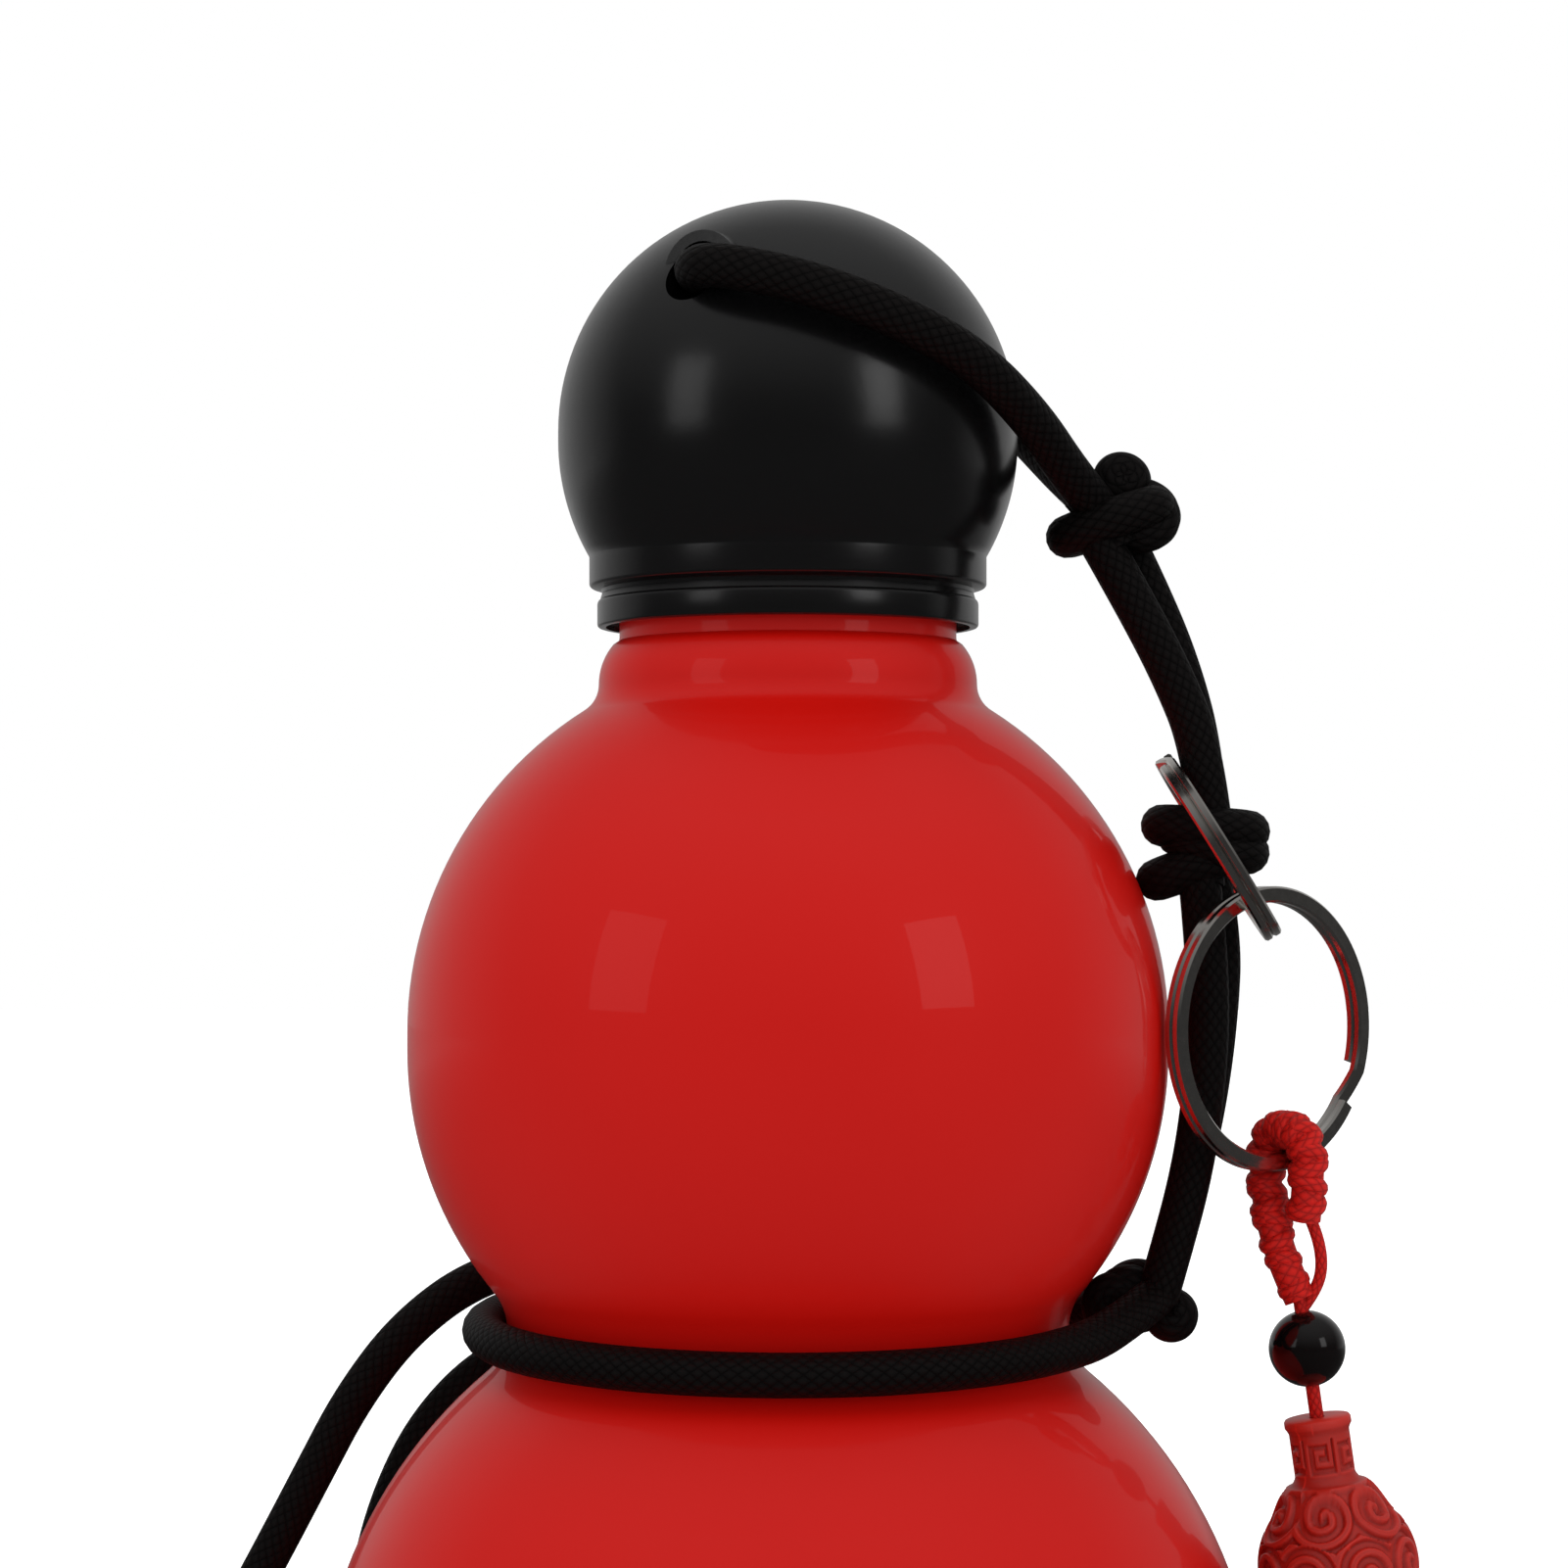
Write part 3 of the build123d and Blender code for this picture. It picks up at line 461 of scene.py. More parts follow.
def cord_curve(route, closed=False):
    """A smooth curve that is drawn along the route's points."""
    curve = bpy.data.curves.new("cord_line", "CURVE")
    curve.dimensions = "3D"
    curve.resolution_u = 10
    spline = curve.splines.new("NURBS")
    spline.points.add(len(route) - 1)
    for point, place in zip(spline.points, route):
        point.co = (*[value / 1000 for value in place], 1)
    spline.order_u = 3
    spline.use_endpoint_u = not closed
    spline.use_cyclic_u = closed
    return curve


def cord_line(route, closed=False):
    """The points that the smooth curve runs through, in metres."""
    holder = bpy.data.objects.new("cord_line", cord_curve(route, closed))
    mesh = bpy.data.meshes.new_from_object(holder)
    return [vertex.co.copy() for vertex in mesh.vertices]


def cord_mesh(route, thickness, closed=False, fineness=6):
    """Round skin along the route, with the length in metres and the turn as its UV."""
    curve = cord_curve(route, closed)
    curve.bevel_depth = thickness / 2
    curve.bevel_resolution = fineness
    curve.use_fill_caps = not closed
    holder = bpy.data.objects.new("cord_skin", curve)
    mesh = bpy.data.meshes.new_from_object(holder)
    line = cord_line(route, closed)
    caps = 0 if closed else 2
    around = len(mesh.vertices) // (len(line) + caps)
    run = [0.0]
    for before, after in zip(line, line[1:]):
        run.append(run[-1] + (after - before).length)
    run.append(run[-1] + (line[0] - line[-1]).length)
    while mesh.uv_layers:
        mesh.uv_layers.remove(mesh.uv_layers[0])
    layer = mesh.uv_layers.new(name="braid")
    for face in mesh.polygons:
        face.use_smooth = True
        rings = [index // around - caps for index in face.vertices]
        sides = [index % around for index in face.vertices]
        if rings[0] < 0:
            continue
        over_seam = max(sides) - min(sides) > 1
        over_end = max(rings) - min(rings) > 1
        for loop, ring, side in zip(face.loop_indices, rings, sides):
            side = side + around if over_seam and side == 0 else side
            ring = len(line) if over_end and ring == 0 else ring
            layer.data[loop].uv = (run[ring], side / around)
    return mesh


def components(tree, vector):
    """The three parts of a vector."""
    node = tree.nodes.new("ShaderNodeSeparateXYZ")
    tree.links.new(vector, node.inputs[0])
    return node.outputs


# Height of a round braid's diamonds, on a UV of length in metres and turn
braid, given, wanted = effect(
    "braid",
    [("Strands", "NodeSocketFloat", 12.0), ("Pitch", "NodeSocketFloat", 0.0015)],
    "Height",
)
place = components(braid, coordinates(braid, "UV"))
along = figure(braid, "DIVIDE", place[0], given["Pitch"])
round_it = figure(braid, "MULTIPLY", place[1], given["Strands"])
heights = []
for operation in ("ADD", "SUBTRACT"):
    lay = figure(braid, operation, along, round_it)
    wave = figure(braid, "SINE", figure(braid, "MULTIPLY", lay, math.pi))
    heights.append(figure(braid, "ABSOLUTE", wave))
diamonds = figure(braid, "POWER", figure(braid, "MULTIPLY", *heights), 0.5)
braid.links.new(diamonds, wanted["Height"])


def braided(name, dark, light, strands, pitch, depth, sheen):
    """Finish of a braided cord: diamonds of yarn with fine fibres on them."""
    material, tree, shader = finish(name, light, roughness=0.6, sheen=sheen, specular=0.16)
    shader.inputs["Sheen Roughness"].default_value = 0.4
    yarns = placed(tree, braid, Strands=strands, Pitch=pitch)
    fibres = placed(tree, grain, Scale=2600, Detail=3)
    height = figure(tree, "MULTIPLY_ADD", fibres, 0.35, yarns)
    # Painted shade: the grooves between the yarns are painted darker and the crests lighter; the fibres add
    # a random tone.
    tint(tree, shader, figure(tree, "MULTIPLY", height, 0.75), dark, light)
    relief(tree, shader, height, depth)
    return material


black_cord = braided(
    "black_braid",
    dark=(0.0009, 0.0006, 0.0006),
    light=(0.006, 0.0042, 0.004),
    strands=12,
    pitch=0.0015,
    depth=0.0001,
    sheen=0.0,
)


def free_cord(name, route, nodes, body="bottle"):
    """A limp free cord of the black braid that ends in a knot."""
    obj = piece(name, [cord_mesh(route, CORD)], black_cord, body, nodes)
    line = cord_line(route)
    return obj


def knot_turn(place, radius, lean, roll=0.0, oval=1.0):
    """Points of one turn of a knot, a ring that leans to the right and rolls to the back."""
    tilt = Matrix.Rotation(math.radians(lean), 3, "Y") @ Matrix.Rotation(math.radians(roll), 3, "X")
    points = []
    for step in range(8):
        angle = math.tau * step / 8
        spot = Vector((radius * math.cos(angle), oval * radius * math.sin(angle), 0))
        points.append(Vector(place) + tilt @ spot)
    return points


def knot(name, turns, node, through=()):
    """A knot of the cord: its turns and the short strands that cross inside it."""
    meshes = [cord_mesh(turn, CORD, closed=True) for turn in turns]
    meshes += [cord_mesh(route, CORD) for route in through]
    return piece(name, meshes, black_cord, "bottle", (node,))


# First knot, beside the cap: a wide turn round both strands, a small one above and one beside it
cap_knot = knot(
    "knot_at_cap",
    [
        knot_turn((34.3, -0.2, 172.6), 5.3, lean=-19, oval=0.72),
        knot_turn((35.5, 0.3, 177.0), 1.0, lean=15, roll=75),
        knot_turn((37.4, -0.3, 173.3), 2.3, lean=10, roll=60),
    ],
    "cap_knot",
    [
        [(31.0, -1.7, 175.6), (33.4, -1.6, 172.9), (35.2, -2.3, 169.4)],
        [(32.2, 2.0, 175.6), (34.6, 1.8, 173.0), (37.0, 2.4, 169.6)],
    ],
)

# Second knot, inside the upper split ring: three turns, the lowest one dropping to the left
ring_knot = knot(
    "knot_at_rings",
    [
        knot_turn((44.4, 0, 140.0), 5.0, lean=4, oval=0.8),
        knot_turn((45.2, 0, 138.4), 4.2, lean=14, roll=10, oval=0.9),
        knot_turn((43.0, 0, 135.9), 4.3, lean=-20, oval=0.75),
    ],
    "ring_knot",
    [
        [(44.3, -2.3, 143.0), (44.4, -1.2, 139.0), (43.9, -2.3, 134.0)],
        [(45.0, 2.3, 143.0), (44.6, 1.2, 139.0), (45.2, 2.3, 134.0)],
    ],
)

# Third knot, at the waist, which ties the tether to the turn of cord round the waist
waist_knot = knot(
    "knot_at_waist",
    [
        knot_turn((36.1, -0.8, 89.9), 1.7, lean=0, roll=85),
        knot_turn((34.6, -1.4, 89.5), 1.4, lean=0, roll=85),
        knot_turn((37.2, 0.9, 90.2), 2.0, lean=-35, roll=60),
        knot_turn((40.7, -0.3, 88.3), 0.75, lean=10, roll=75),
    ],
    "waist_knot",
    [
        [(34.2, -0.8, 87.6), (37.0, -1.2, 88.6), (40.2, -1.6, 91.6)],
        [(34.6, 1.6, 88.2), (37.2, 1.0, 90.2), (40.9, 1.6, 91.6)],
    ],
)

# Knot of the strap's two ends, behind the waist, which the photograph doesn't show
strap_knot = knot(
    "knot_of_strap",
    [
        knot_turn((-13.4, 34.0, 87.4), 3.6, lean=20, oval=0.9),
        knot_turn((-13.2, 34.4, 86.0), 3.4, lean=-22, oval=0.9),
    ],
    "strap_knot",
)

# Cord through the cap, which stays fast at its knot at both ends. It rides on no body.
cap_cord = free_cord(
    "cord_through_cap",
    [
        (33.2, -1.7, 173.4),
        (29.6, -5.6, 177.0),
        (25.2, -12.0, 182.2),
        (18.9, -19.8, 187.2),
        (10.7, -24.4, 191.0),
        (1.5, -25.3, 194.2),
        (-7.2, -23.1, 196.3),
        (-10.08, -18.19, 196.43),
        (-6.79, -12.24, 196.1),
        (6.79, 12.24, 196.1),
        (10.08, 18.19, 196.43),
        (14.4, 21.0, 195.2),
        (20.8, 20.2, 190.2),
        (26.6, 14.6, 183.2),
        (30.8, 6.6, 177.2),
        (34.0, 1.8, 173.6),
    ],
    ("cap_loop",),
    body=None,
)
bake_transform(cap_cord)

# Tether: two strands from the first knot to the second, and two from there to the waist
free_cord(
    "tether_upper_near",
    [
        (32.8, -2.4, 170.6),
        (37.0, -2.5, 163.2),
        (40.7, -2.5, 156.0),
        (43.6, -2.5, 148.9),
        (44.6, -2.4, 141.4),
    ],
    ("tether_upper_front",),
)
free_cord(
    "tether_upper_far",
    [
        (36.0, 2.4, 170.8),
        (39.5, 2.5, 163.6),
        (42.3, 2.5, 156.2),
        (44.2, 2.5, 148.8),
        (45.0, 2.4, 141.2),
    ],
    ("tether_upper_back",),
)
free_cord(
    "tether_lower_near",
    [
        (43.4, -2.4, 136.0),
        (44.1, -2.5, 128.6),
        (44.5, -2.5, 120.0),
        (43.9, -2.5, 111.4),
        (42.6, -2.5, 103.2),
        (40.4, -2.4, 95.0),
        (39.0, -2.4, 90.2),
    ],
    ("tether_lower_front",),
)
free_cord(
    "tether_lower_far",
    [
        (45.0, 2.4, 136.0),
        (46.4, 2.5, 128.6),
        (46.0, 2.5, 120.0),
        (44.9, 2.5, 111.4),
        (43.1, 2.5, 103.2),
        (41.1, 2.4, 95.0),
        (39.7, 2.4, 90.2),
    ],
    ("tether_lower_back",),
)

# Turn round the waist, a little lower in front: it leaves the knot in front and comes back behind
WRAP = 32.58
WRAP_Z = 87.06
WRAP_FALL = 0.035
waist_route = [(38.8, -2.6, 90.4), (36.0, -6.2, 88.9), (32.2, -11.0, 87.1)]
for step in range(2, 23):
    angle = -math.radians(15 * step)
    side_y = WRAP * math.sin(angle)
    waist_route.append((WRAP * math.cos(angle), side_y, WRAP_Z + WRAP_FALL * side_y))
waist_route += [(32.0, 11.4, 87.5), (35.2, 6.0, 88.3), (38.2, 2.0, 89.4)]
free_cord("turn_at_waist", waist_route, ("waist_wrap",))

# Carrying strap: down beside the lower bulb, into its coil on the floor and up again. The coil
# winds inwards on the floor, climbs by one layer and winds outwards again.
COIL_X = -60
COIL_Y = 72
COIL_REACH = 33.6
COIL_SPACING = 5.0
COIL_TURNS = 5 + 7 / 12
COIL_STEPS = 80
CLIMB_TURNS = 0.5
FLOOR_LAYER = 3.4
LAYER = 5.0
strap_route = [
    (-14.2, 34.8, 90.1),
    (-24.8, 30.6, 91.9),
    (-34.9, 23.6, 90.2),
    (-42.7, 20.6, 84.6),
    (-48.6, 20.0, 76.8),
    (-53.0, 20.0, 68.4),
    (-57.2, 20.2, 60.4),
    (-62.0, 21.4, 51.6),
    (-67.8, 24.2, 42.0),
    (-74.6, 28.6, 32.0),
    (-82.0, 34.6, 22.2),
    (-88.8, 42.2, 13.0),
    (-92.8, 51.0, 6.0),
    (-93.6, 60.2, 3.4),
    (-93.6, 67.5, 3.4),
]
for step in range(COIL_STEPS + 1):
    share = step / COIL_STEPS
    reach = COIL_REACH - COIL_SPACING * COIL_TURNS * min(share, 1 - share)
    angle = math.pi - math.tau * COIL_TURNS * share
    climb = min(max((share - 0.5) * COIL_TURNS / CLIMB_TURNS + 0.5, 0), 1)
    lift = FLOOR_LAYER + LAYER * climb * climb * (3 - 2 * climb)
    strap_route.append((COIL_X + reach * math.cos(angle), COIL_Y + reach * math.sin(angle), lift))
strap_route += [
    (-33.152, 51.303, 8.4),
    (-37.152, 44.375, 8.4),
    (-42.4, 38.8, 11.2),
    (-47.0, 34.6, 17.8),
    (-50.2, 31.4, 26.4),
    (-51.2, 28.8, 36.0),
    (-49.8, 26.8, 45.8),
    (-47.4, 25.2, 55.6),
    (-44.9, 24.2, 65.0),
    (-40.6, 24.0, 73.6),
    (-33.9, 24.8, 80.3),
    (-25.0, 29.4, 83.4),
    (-14.6, 34.2, 84.2),
]
strap_nodes = ("strap_front", "strap_coil", "strap_back")
free_cord("carrying_strap", strap_route, strap_nodes)


# The band that ties the strap's coil is a flat strip of black hook-and-loop tape.
tape, tree, shader = finish("black_tape", (0.02, 0.02, 0.021), roughness=0.8, sheen=0.3)
relief(tree, shader, placed(tree, grain, Scale=3200), depth=0.0001)
reworked("coil_tie", tape)


# Two split rings of flat steel wire, each wound twice and sprung together: the upper one lies
# round the second knot, and the lower one hangs on it and carries the pendant.
LOWER_RING = 14.2
WIRE_EDGE = 0.22
HALF_GAP = 0.02


def split_ring(radius, width, height, middle, out, square, split_turn):
    """One ring about its axis: a lower turn, a short step up, and an upper turn."""
    half_w = width / 2
    half_h = height / 4 - HALF_GAP
    spots = [
        (half_w, WIRE_EDGE - half_h),
        (half_w, half_h - WIRE_EDGE),
        (half_w - WIRE_EDGE, half_h),
        (WIRE_EDGE - half_w, half_h),
    ]
    spots += [(-r, -z) for r, z in spots]
    shape = bmesh.new()
    verts = [shape.verts.new(((radius + r) / 1000, 0, (z - height / 4) / 1000)) for r, z in spots]
    face = shape.faces.new(verts)
    geometry = [face, *face.edges, *verts]
    for degrees, rise, steps in ((342, 0, 110), (14, height / 2, 10), (344, 0, 110)):
        done = bmesh.ops.spin(
            shape,
            geom=geometry,
            cent=(0, 0, 0),
            axis=(0, 0, 1),
            dvec=(0, 0, rise / 1000 / steps),
            angle=math.radians(degrees),
            steps=steps,
        )
        geometry = done["geom_last"]
    square = Vector(square).normalized()
    out = Vector(out).normalized()
    place = Matrix((out, square.cross(out), square)).transposed().to_4x4()
    place.translation = Vector(middle) / 1000
    place = place @ Matrix.Rotation(math.radians(split_turn), 4, "Z")
    bmesh.ops.transform(shape, matrix=place, verts=shape.verts)
    return settle("split_ring", shape, 40)


polished_steel, tree, shader = finish("polished_steel", (0.78, 0.75, 0.71), roughness=0.2, metallic=1.0)
scuffs = placed(tree, grain, Scale=900, Roughness=0.7)
vary_roughness(tree, shader, scuffs, spread=0.22, least=0.08)
relief(tree, shader, scuffs, depth=0.00002, strength=0.4)

# The upper ring hangs tilted in its knot, and rolled a little towards the viewer
tilt = math.radians(58)
roll = math.radians(4.5)
upper_square = Vector((math.sin(tilt), 0, math.cos(tilt))) * math.cos(roll) - Vector((0, math.sin(roll), 0))
upper_ring = split_ring(
    radius=10.45,
    width=1.6,
    height=2.0,
    middle=(45.75, 0, 138.0),
    out=(math.cos(tilt), 0, -math.sin(tilt)),
    square=upper_square,
    split_turn=200,
)
piece("ring_on_knot", [upper_ring], polished_steel, "ring_upper", ("split_ring_upper",))

# The lower ring hangs upright, turned so that the photograph sees it half from the side
turn = math.radians(40.7)
ring_middle = Vector((50.87, -2.7, 118.8))
ring_across = Vector((math.cos(turn), math.sin(turn), 0))
ring_square = Vector((math.sin(turn), -math.cos(turn), 0))
lower_ring = split_ring(
    radius=LOWER_RING,
    width=1.7,
    height=2.1,
    middle=ring_middle,
    out=ring_across,
    square=ring_square,
    split_turn=-16,
)
piece("ring_with_pendant", [lower_ring], polished_steel, "ring_lower", ("split_ring_lower",))


# The pendant hangs on a knotted red rope that goes up behind the ring's wire, over it and down
# in front. The front leg is shorter, and its bare end runs down to the beads.
ROPE_CORE = 0.0034
YARN = 0.00195
YARN_RINGS = 22
YARN_REACH = 1.35
YARN_LEAN = 24
THREAD = 0.0015
SIDE_STRAND = 0.0013
lean = math.radians(8.2)
up_cord = Vector((-math.sin(lean), 0, math.cos(lean)))
bead_middle = Vector((55.08, -0.93, 84.81))
hang = math.radians(11)
wire = ring_middle + (ring_across * math.sin(hang) - Vector((0, 0, math.cos(hang)))) * LOWER_RING
red_cord = braided(
    "red_knots",
    dark=(0.22, 0.002, 0.0015),
    light=(0.62, 0.009, 0.005),
    strands=6,
    pitch=0.0012,
    depth=0.00008,
    sheen=0.02,
)


def plait(line):
    """Rings of yarn along a rope, each leaning against the next, with a core through them."""
    meshes = [cord_mesh(line, ROPE_CORE)]
    spots = [spot * 1000 for spot in cord_line(line)]
    for i in range(YARN_RINGS):
        share = (i + 0.5) / YARN_RINGS
        place = share * (len(spots) - 1)
        low = min(int(place), len(spots) - 2)
        middle = spots[low].lerp(spots[low + 1], place - low)
        ahead = (spots[min(low + 3, len(spots) - 1)] - spots[max(low - 2, 0)]).normalized()
        front = ahead.cross(Vector((0.75, 0.66, 0))).normalized()
        turned_by = math.radians(YARN_LEAN if i % 2 else -YARN_LEAN)
        tilted = Matrix.Rotation(turned_by, 3, front) @ ahead
        first = tilted.cross(front).normalized()
        second = tilted.cross(first).normalized()
        size = YARN_REACH * min(1.0, 0.75 + 1.4 * share)
        ring = []
        for step in range(8):
            angle = math.tau * step / 8
            ring.append(middle + (first * math.cos(angle) * 1.12 + second * math.sin(angle) * 0.95) * size)
        meshes.append(cord_mesh(ring, YARN, closed=True, fineness=4))
    return meshes


leg_back = wire - ring_square * 3.0
leg_front = wire + ring_square * 3.0
rope = [
    bead_middle + up_cord * 5.3,
    Vector((52.6, -0.6, 93.8)),
    Vector((51.4, 0.2, 98.6)),
    leg_back - Vector((0, 0, 2.6)),
    leg_back + Vector((0, 0, 1.2)),
    leg_back + Vector((0.9, -0.9, 3.0)),
    wire + Vector((0, 0, 3.1)),
    leg_front + Vector((-0.9, 0.9, 3.0)),
    leg_front + Vector((0, 0, 1.2)),
    leg_front - Vector((0, 0, 2.6)),
    Vector((54.6, -2.6, 98.6)),
]
piece("pendant_knots", plait(rope), red_cord, "pendant", ("pendant_braid",))

bare_end = [
    (54.9, -2.4, 99.4),
    (56.0, -2.0, 97.2),
    (56.7, -1.4, 93.6),
    (56.0, -1.0, 90.9),
    (54.5, -0.93, 88.9),
]
strand = cord_mesh(bare_end, SIDE_STRAND)
piece("pendant_side", [strand], red_cord, "pendant", ("pendant_strand",))

# Thin cord through both beads to the stop knot, by how far each point is below the black bead
thin_route = [bead_middle - up_cord * drop for drop in (-6.4, 15, 34.6)]
thin_cord = cord_mesh(thin_route, THREAD)
piece("pendant_thread", [thin_cord], red_cord, "pendant", ("pendant_cord",))


# The black bead is polished stone, bored through, on the thin cord under the rope.
BEAD = 4.05
BEAD_BORE = 0.85


def on_cord(mesh, drop):
    """Moves a bead's mesh from the bottle's axis to its place on the pendant's cord."""
    turn_to = Vector((0, 0, 1)).rotation_difference(up_cord).to_matrix().to_4x4()
    mesh.transform(Matrix.Translation((bead_middle - up_cord * drop) / 1000) @ turn_to)
    return mesh


bead_outline = arc(0, 0, BEAD, -math.radians(76), math.radians(76), 30)
bead_outline += [(BEAD_BORE, 3.9), (BEAD_BORE, -3.9)]
black_bead = on_cord(turned("bead", bead_outline, steps=64), 0)
polished_stone, tree, shader = finish("polished_stone", (0.003, 0.0025, 0.0025), roughness=0.12, coat=0.3)
veins = placed(tree, grain, Scale=240)
tint(tree, shader, veins, dark=(0.0015, 0.001, 0.001), light=(0.005, 0.0035, 0.0035))
piece("stone_bead", [black_bead], polished_stone, "black_bead_body", ("black_bead",))


# The carved bead is red lacquer in the form of a small vase: a flared lip, a neck with a square
# key pattern, a collar and a round body cut with scrolls.
VASE_BODY = 8.5
VASE_BODY_DROP = 15.9
VASE_NECK = 3.2
VASE_COLLAR = 6.5
KEY_WIDTH = math.tau * VASE_NECK / 6
KEY_BAND = 4.2
KEY_DEPTH = 0.36
SCROLL_SPACING = 1.75
SCROLL_DEPTH = 0.55
curl_eyes = []
for latitude, count, start in ((46, 6, -105), (2, 8, -75), (-42, 6, -105)):
    level = math.cos(math.radians(latitude))
    height = math.sin(math.radians(latitude))
    for k in range(count):
        bearing = math.radians(start + 360 * k / count)
        eye = Vector((level * math.cos(bearing), level * math.sin(bearing), height))
        curl_eyes.append((eye, 1 if k % 2 else -1))


def scrolls(way):
    """Height of the scroll at a place on the round body: a spiral about the nearest eye."""
    eye, hand = max(curl_eyes, key=lambda spot: spot[0].dot(way))
    east = Vector((-eye.y, eye.x, 0)).normalized()
    north = eye.cross(east)
    reach = VASE_BODY * math.acos(min(1, eye.dot(way)))
    angle = math.atan2(way.dot(north), way.dot(east) * hand)
    phase = reach / SCROLL_SPACING - angle / math.tau
    near = abs(phase - round(phase)) * SCROLL_SPACING
    return min(1.0, max(0.0, (0.52 - near) / 0.22))


def keys(across_mm, along_mm):
    """Height of a square key pattern on the neck."""
    x = (across_mm / KEY_WIDTH) % 1
    z = along_mm / KEY_BAND
    if z < 0.05 or z > 0.95:
        return 1.0
    path = [(0.1, 0.12), (0.1, 0.88), (0.88, 0.88), (0.88, 0.3), (0.42, 0.3), (0.42, 0.6), (0.64, 0.6)]
    near = 9.0
    for (ax, az), (bx, bz) in zip(path, path[1:]):
        long = max(abs(bx - ax), abs(bz - az))
        share = ((x - ax) * (bx - ax) + (z - az) * (bz - az)) / long**2
        share = min(1, max(0, share))
        near = min(near, max(abs(x - ax - share * (bx - ax)), abs(z - az - share * (bz - az))))
    return min(1.0, max(0.0, (0.1 - near) / 0.05))


# Outline from the foot up: round body, a collar that draws in to the neck, the neck, the lip,
# and down the bore
foot = -math.acos(4.0 / VASE_BODY)
shoulder = math.acos(VASE_COLLAR / VASE_BODY)
vase = arc(0, -VASE_BODY_DROP, VASE_BODY, foot, shoulder, 110)
vase_foot_z = vase[0][1]
shoulder_foot = vase[-1][1]
shoulder_rise = -7.0 - shoulder_foot
for i in range(1, 12):
    rise = shoulder_rise * math.sin(math.pi / 2 * i / 12) ** 1.1
    vase.append((VASE_COLLAR - 2.6 * i / 12, shoulder_foot + rise))
vase += [(3.8, -7.0), (3.55, -6.75), (3.3, -6.35)]
vase += [(VASE_NECK, -6.1 + 4.5 * i / 28) for i in range(29)]
vase += [(3.24, -1.4), (3.42, -1.05), (3.55, -0.85), (3.55, -0.25), (3.4, 0)]
vase += [(BEAD_BORE, 0), (BEAD_BORE, vase_foot_z)]

# The patterns are cut in: the keys into the neck and the scrolls into the body
vase_mesh = turned("vase", vase, steps=336, sharp=60)
for vertex in vase_mesh.vertices:
    place = vertex.co * 1000
    if math.hypot(place.x, place.y) < 2.6 or place.z > -1.6:
        continue
    if -6.1 < place.z:
        bearing = math.atan2(place.y, place.x) + 0.25
        cut = KEY_DEPTH * (1 - keys(bearing * VASE_NECK, place.z + 5.95))
        vertex.co -= Vector((place.x, place.y, 0)).normalized() * cut / 1000
    elif vase_foot_z + 0.6 < place.z < -7.2:
        away = Vector((place.x, place.y, place.z + VASE_BODY_DROP)).normalized()
        vertex.co -= away * SCROLL_DEPTH * (1 - scrolls(away)) / 1000

carved_lacquer, tree, shader = finish(
    "carved_lacquer",
    (0.42, 0.022, 0.014),
    roughness=0.42,
    coat=0.08,
    coat_roughness=0.3,
    specular=0.3,
)
# Painted shade: by the surface's pointiness the carving's hollows are painted darker and its ridges
# lighter.
edges = tree.nodes.new("ShaderNodeNewGeometry")
raised = figure(tree, "SUBTRACT", edges.outputs["Pointiness"], 0.5)
hollow_shade = figure(tree, "MULTIPLY_ADD", raised, 5.0, 0.55)
tint(tree, shader, hollow_shade, dark=(0.17, 0.004, 0.002), light=(0.52, 0.018, 0.01))
relief(tree, shader, placed(tree, grain, Scale=900), depth=0.00008, strength=0.6)
vase_on_cord = on_cord(vase_mesh, 7.33)
piece("carved_vase", [vase_on_cord], carved_lacquer, "carved_bead_body", ("carved_bead",))

# Stop knot under the carved bead: two small turns that lean against each other
tail_turns = []
for height, tip in ((0.45, 25), (-0.45, -25)):
    middle = bead_middle - up_cord * (32.7 - height)
    tail_turns.append(cord_mesh(knot_turn(middle, 1.15, lean=tip), THREAD, closed=True))
piece("tail_knot", tail_turns, red_cord, "pendant", ("stop_knot",))


# The bottle stands on a wide sheet of white paper in a white room, between two tall soft windows
# in front, left and right, and a wide light above. The camera sees paper and room white. In
# reflections both are dark in front and paler behind, so that lacquer and cord keep their tone.
PAPER = 0.8
DARK_FRONT = 0.03
PALE_PAPER = 0.33
PALE_ROOM = 0.45


def fade(tree, value, start, end, low, high):
    """A value that goes from low to high while another goes from start to end."""
    node = tree.nodes.new("ShaderNodeMapRange")
    node.inputs["From Min"].default_value = start
    node.inputs["From Max"].default_value = end
    node.inputs["To Min"].default_value = low
    node.inputs["To Max"].default_value = high
    tree.links.new(value, node.inputs["Value"])
    return node.outputs[0]


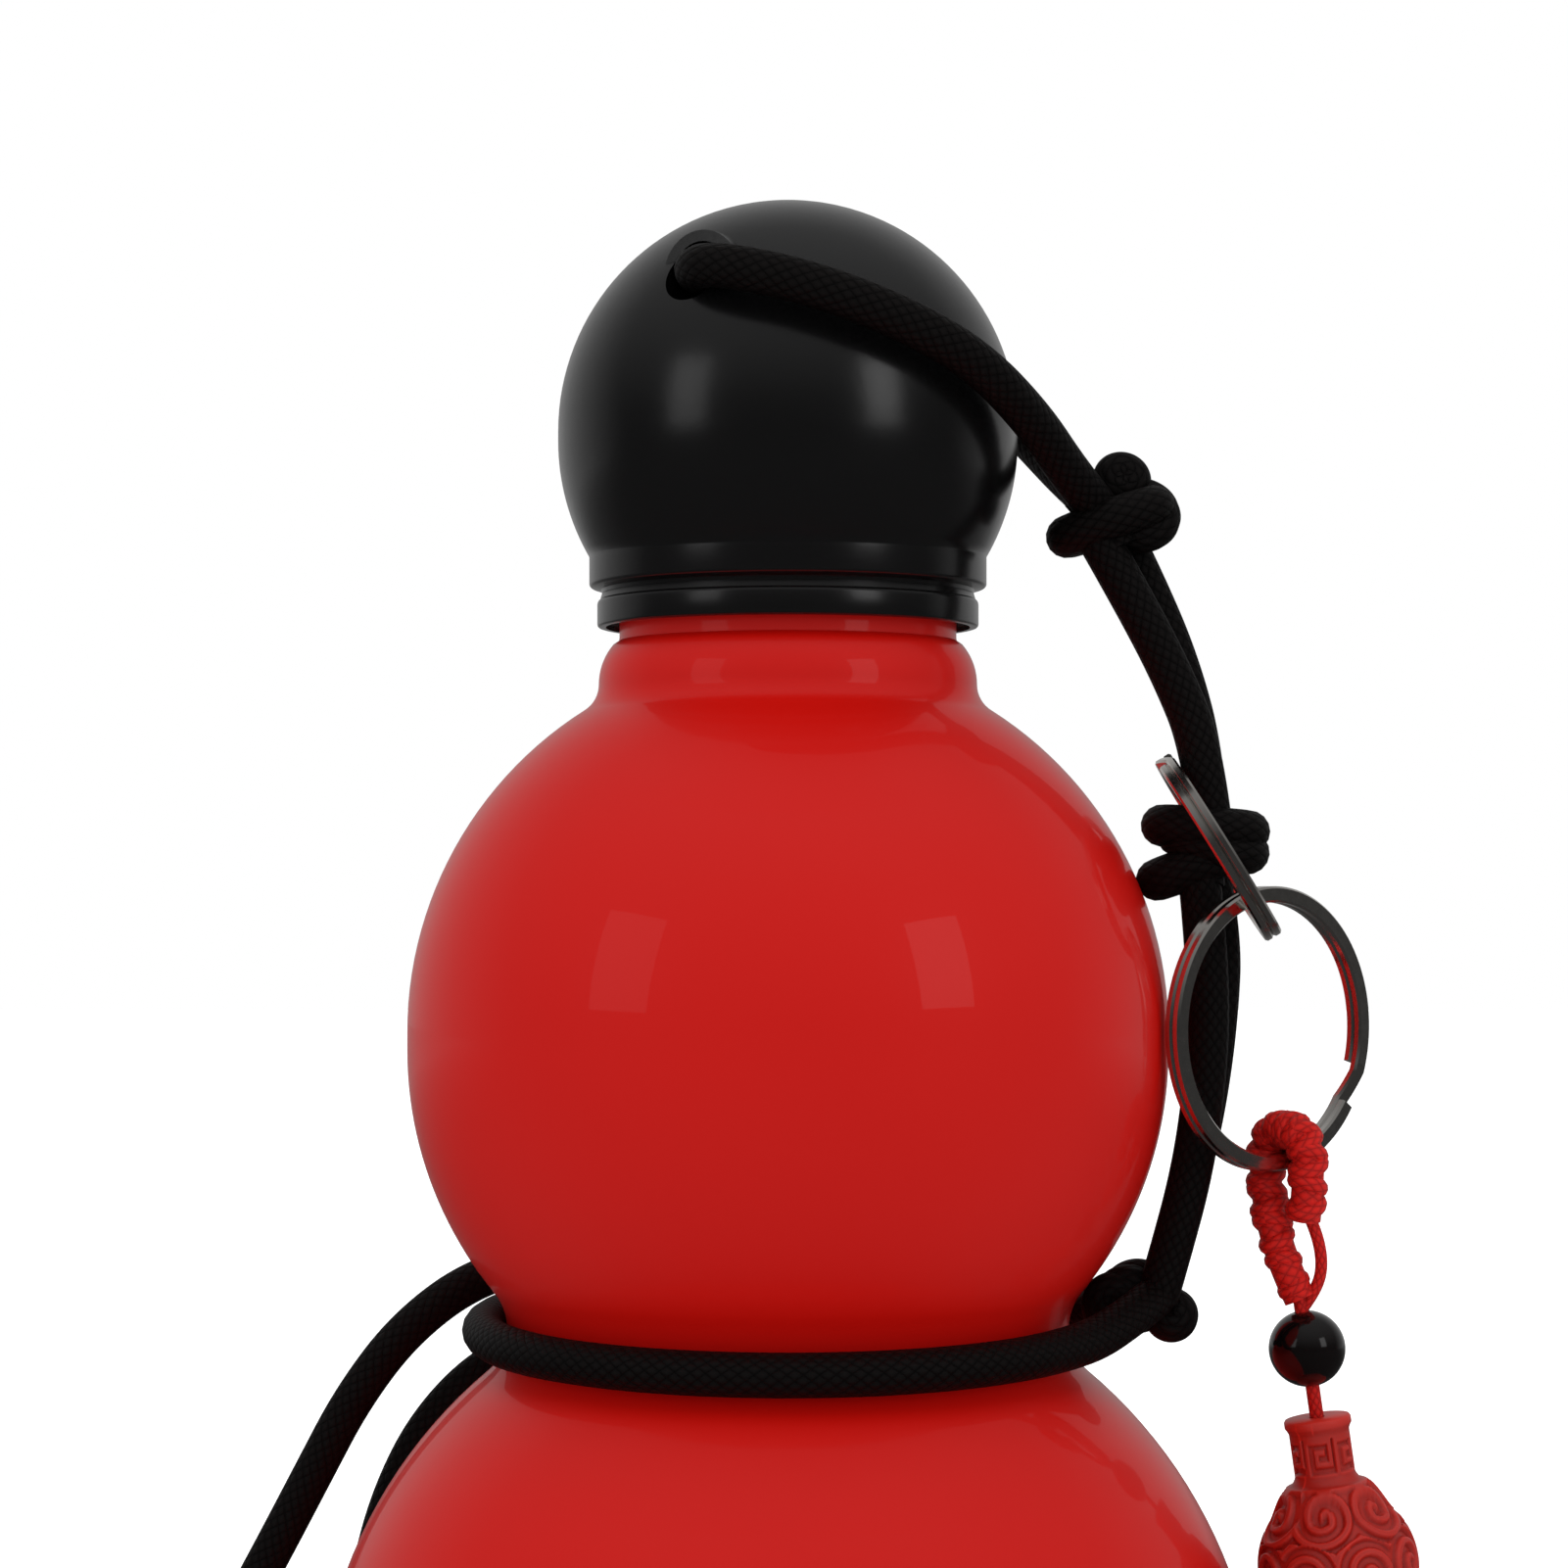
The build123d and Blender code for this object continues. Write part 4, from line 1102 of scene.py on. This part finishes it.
paper, tree, shader = finish("white_paper", (PAPER, PAPER, PAPER), roughness=0.9, specular=0)
rays = tree.nodes.new("ShaderNodeLightPath").outputs
towards_back = components(tree, coordinates(tree))[1]
change = fade(tree, towards_back, 0.1, 1.6, DARK_FRONT - PAPER, PALE_PAPER - PAPER)
shade = figure(tree, "MULTIPLY_ADD", rays["Is Glossy Ray"], change, PAPER)
tree.links.new(shade, shader.inputs["Base Color"])
shader.inputs["Emission Color"].default_value = (1, 1, 1, 1)
tree.links.new(figure(tree, "MULTIPLY", rays["Is Camera Ray"], 0.5), shader.inputs["Emission Strength"])

shape = bmesh.new()
bmesh.ops.create_grid(shape, x_segments=1, y_segments=1, size=4)
bmesh.ops.translate(shape, verts=shape.verts, vec=(0, 0, -0.0002))
sheet = bpy.data.meshes.new("floor")
shape.to_mesh(sheet)
shape.free()
floor = bpy.data.objects.new("floor", sheet)
bpy.context.collection.objects.link(floor)
floor.data.materials.append(paper)

world = bpy.data.worlds.new("studio")
bpy.context.scene.world = world
world.use_nodes = True
tree = world.node_tree
background = tree.nodes["Background"]
rays = tree.nodes.new("ShaderNodeLightPath").outputs
way = components(tree, coordinates(tree, "Generated"))
behind = fade(tree, way[1], 0.0, 0.9, DARK_FRONT, PALE_ROOM)
mirrored = figure(tree, "MAXIMUM", behind, figure(tree, "MULTIPLY", way[2], 0.25))
glossy = figure(tree, "MULTIPLY", rays["Is Glossy Ray"], mirrored)
seen = figure(tree, "MAXIMUM", rays["Is Camera Ray"], rays["Is Transmission Ray"])
strength = figure(tree, "MAXIMUM", figure(tree, "MAXIMUM", seen, glossy), rays["Is Diffuse Ray"])
background.inputs["Color"].default_value = (1, 1, 1, 1)
tree.links.new(strength, background.inputs["Strength"])


def window(name, place, size_x, size_y, power):
    """Soft rectangular light that faces the bottle's middle."""
    light = bpy.data.lights.new(name, "AREA")
    light.shape = "RECTANGLE"
    light.size = size_x
    light.size_y = size_y
    light.energy = power
    obj = bpy.data.objects.new(name, light)
    bpy.context.collection.objects.link(obj)
    obj.location = place
    aim = Vector((0, 0, 0.13)) - Vector(place)
    obj.rotation_euler = aim.to_track_quat("-Z", "Y").to_euler()
    return obj


window("left_window", (-0.8, -0.66, 0.48), size_x=0.36, size_y=0.5, power=0.3)
window("right_window", (0.76, -0.7, 0.48), size_x=0.32, size_y=0.46, power=0.42)
overhead = window("overhead", (0.0, -0.25, 1.3), size_x=1.8, size_y=1.4, power=4.8)
overhead.visible_glossy = False

bpy.context.scene.view_settings.view_transform = "Standard"
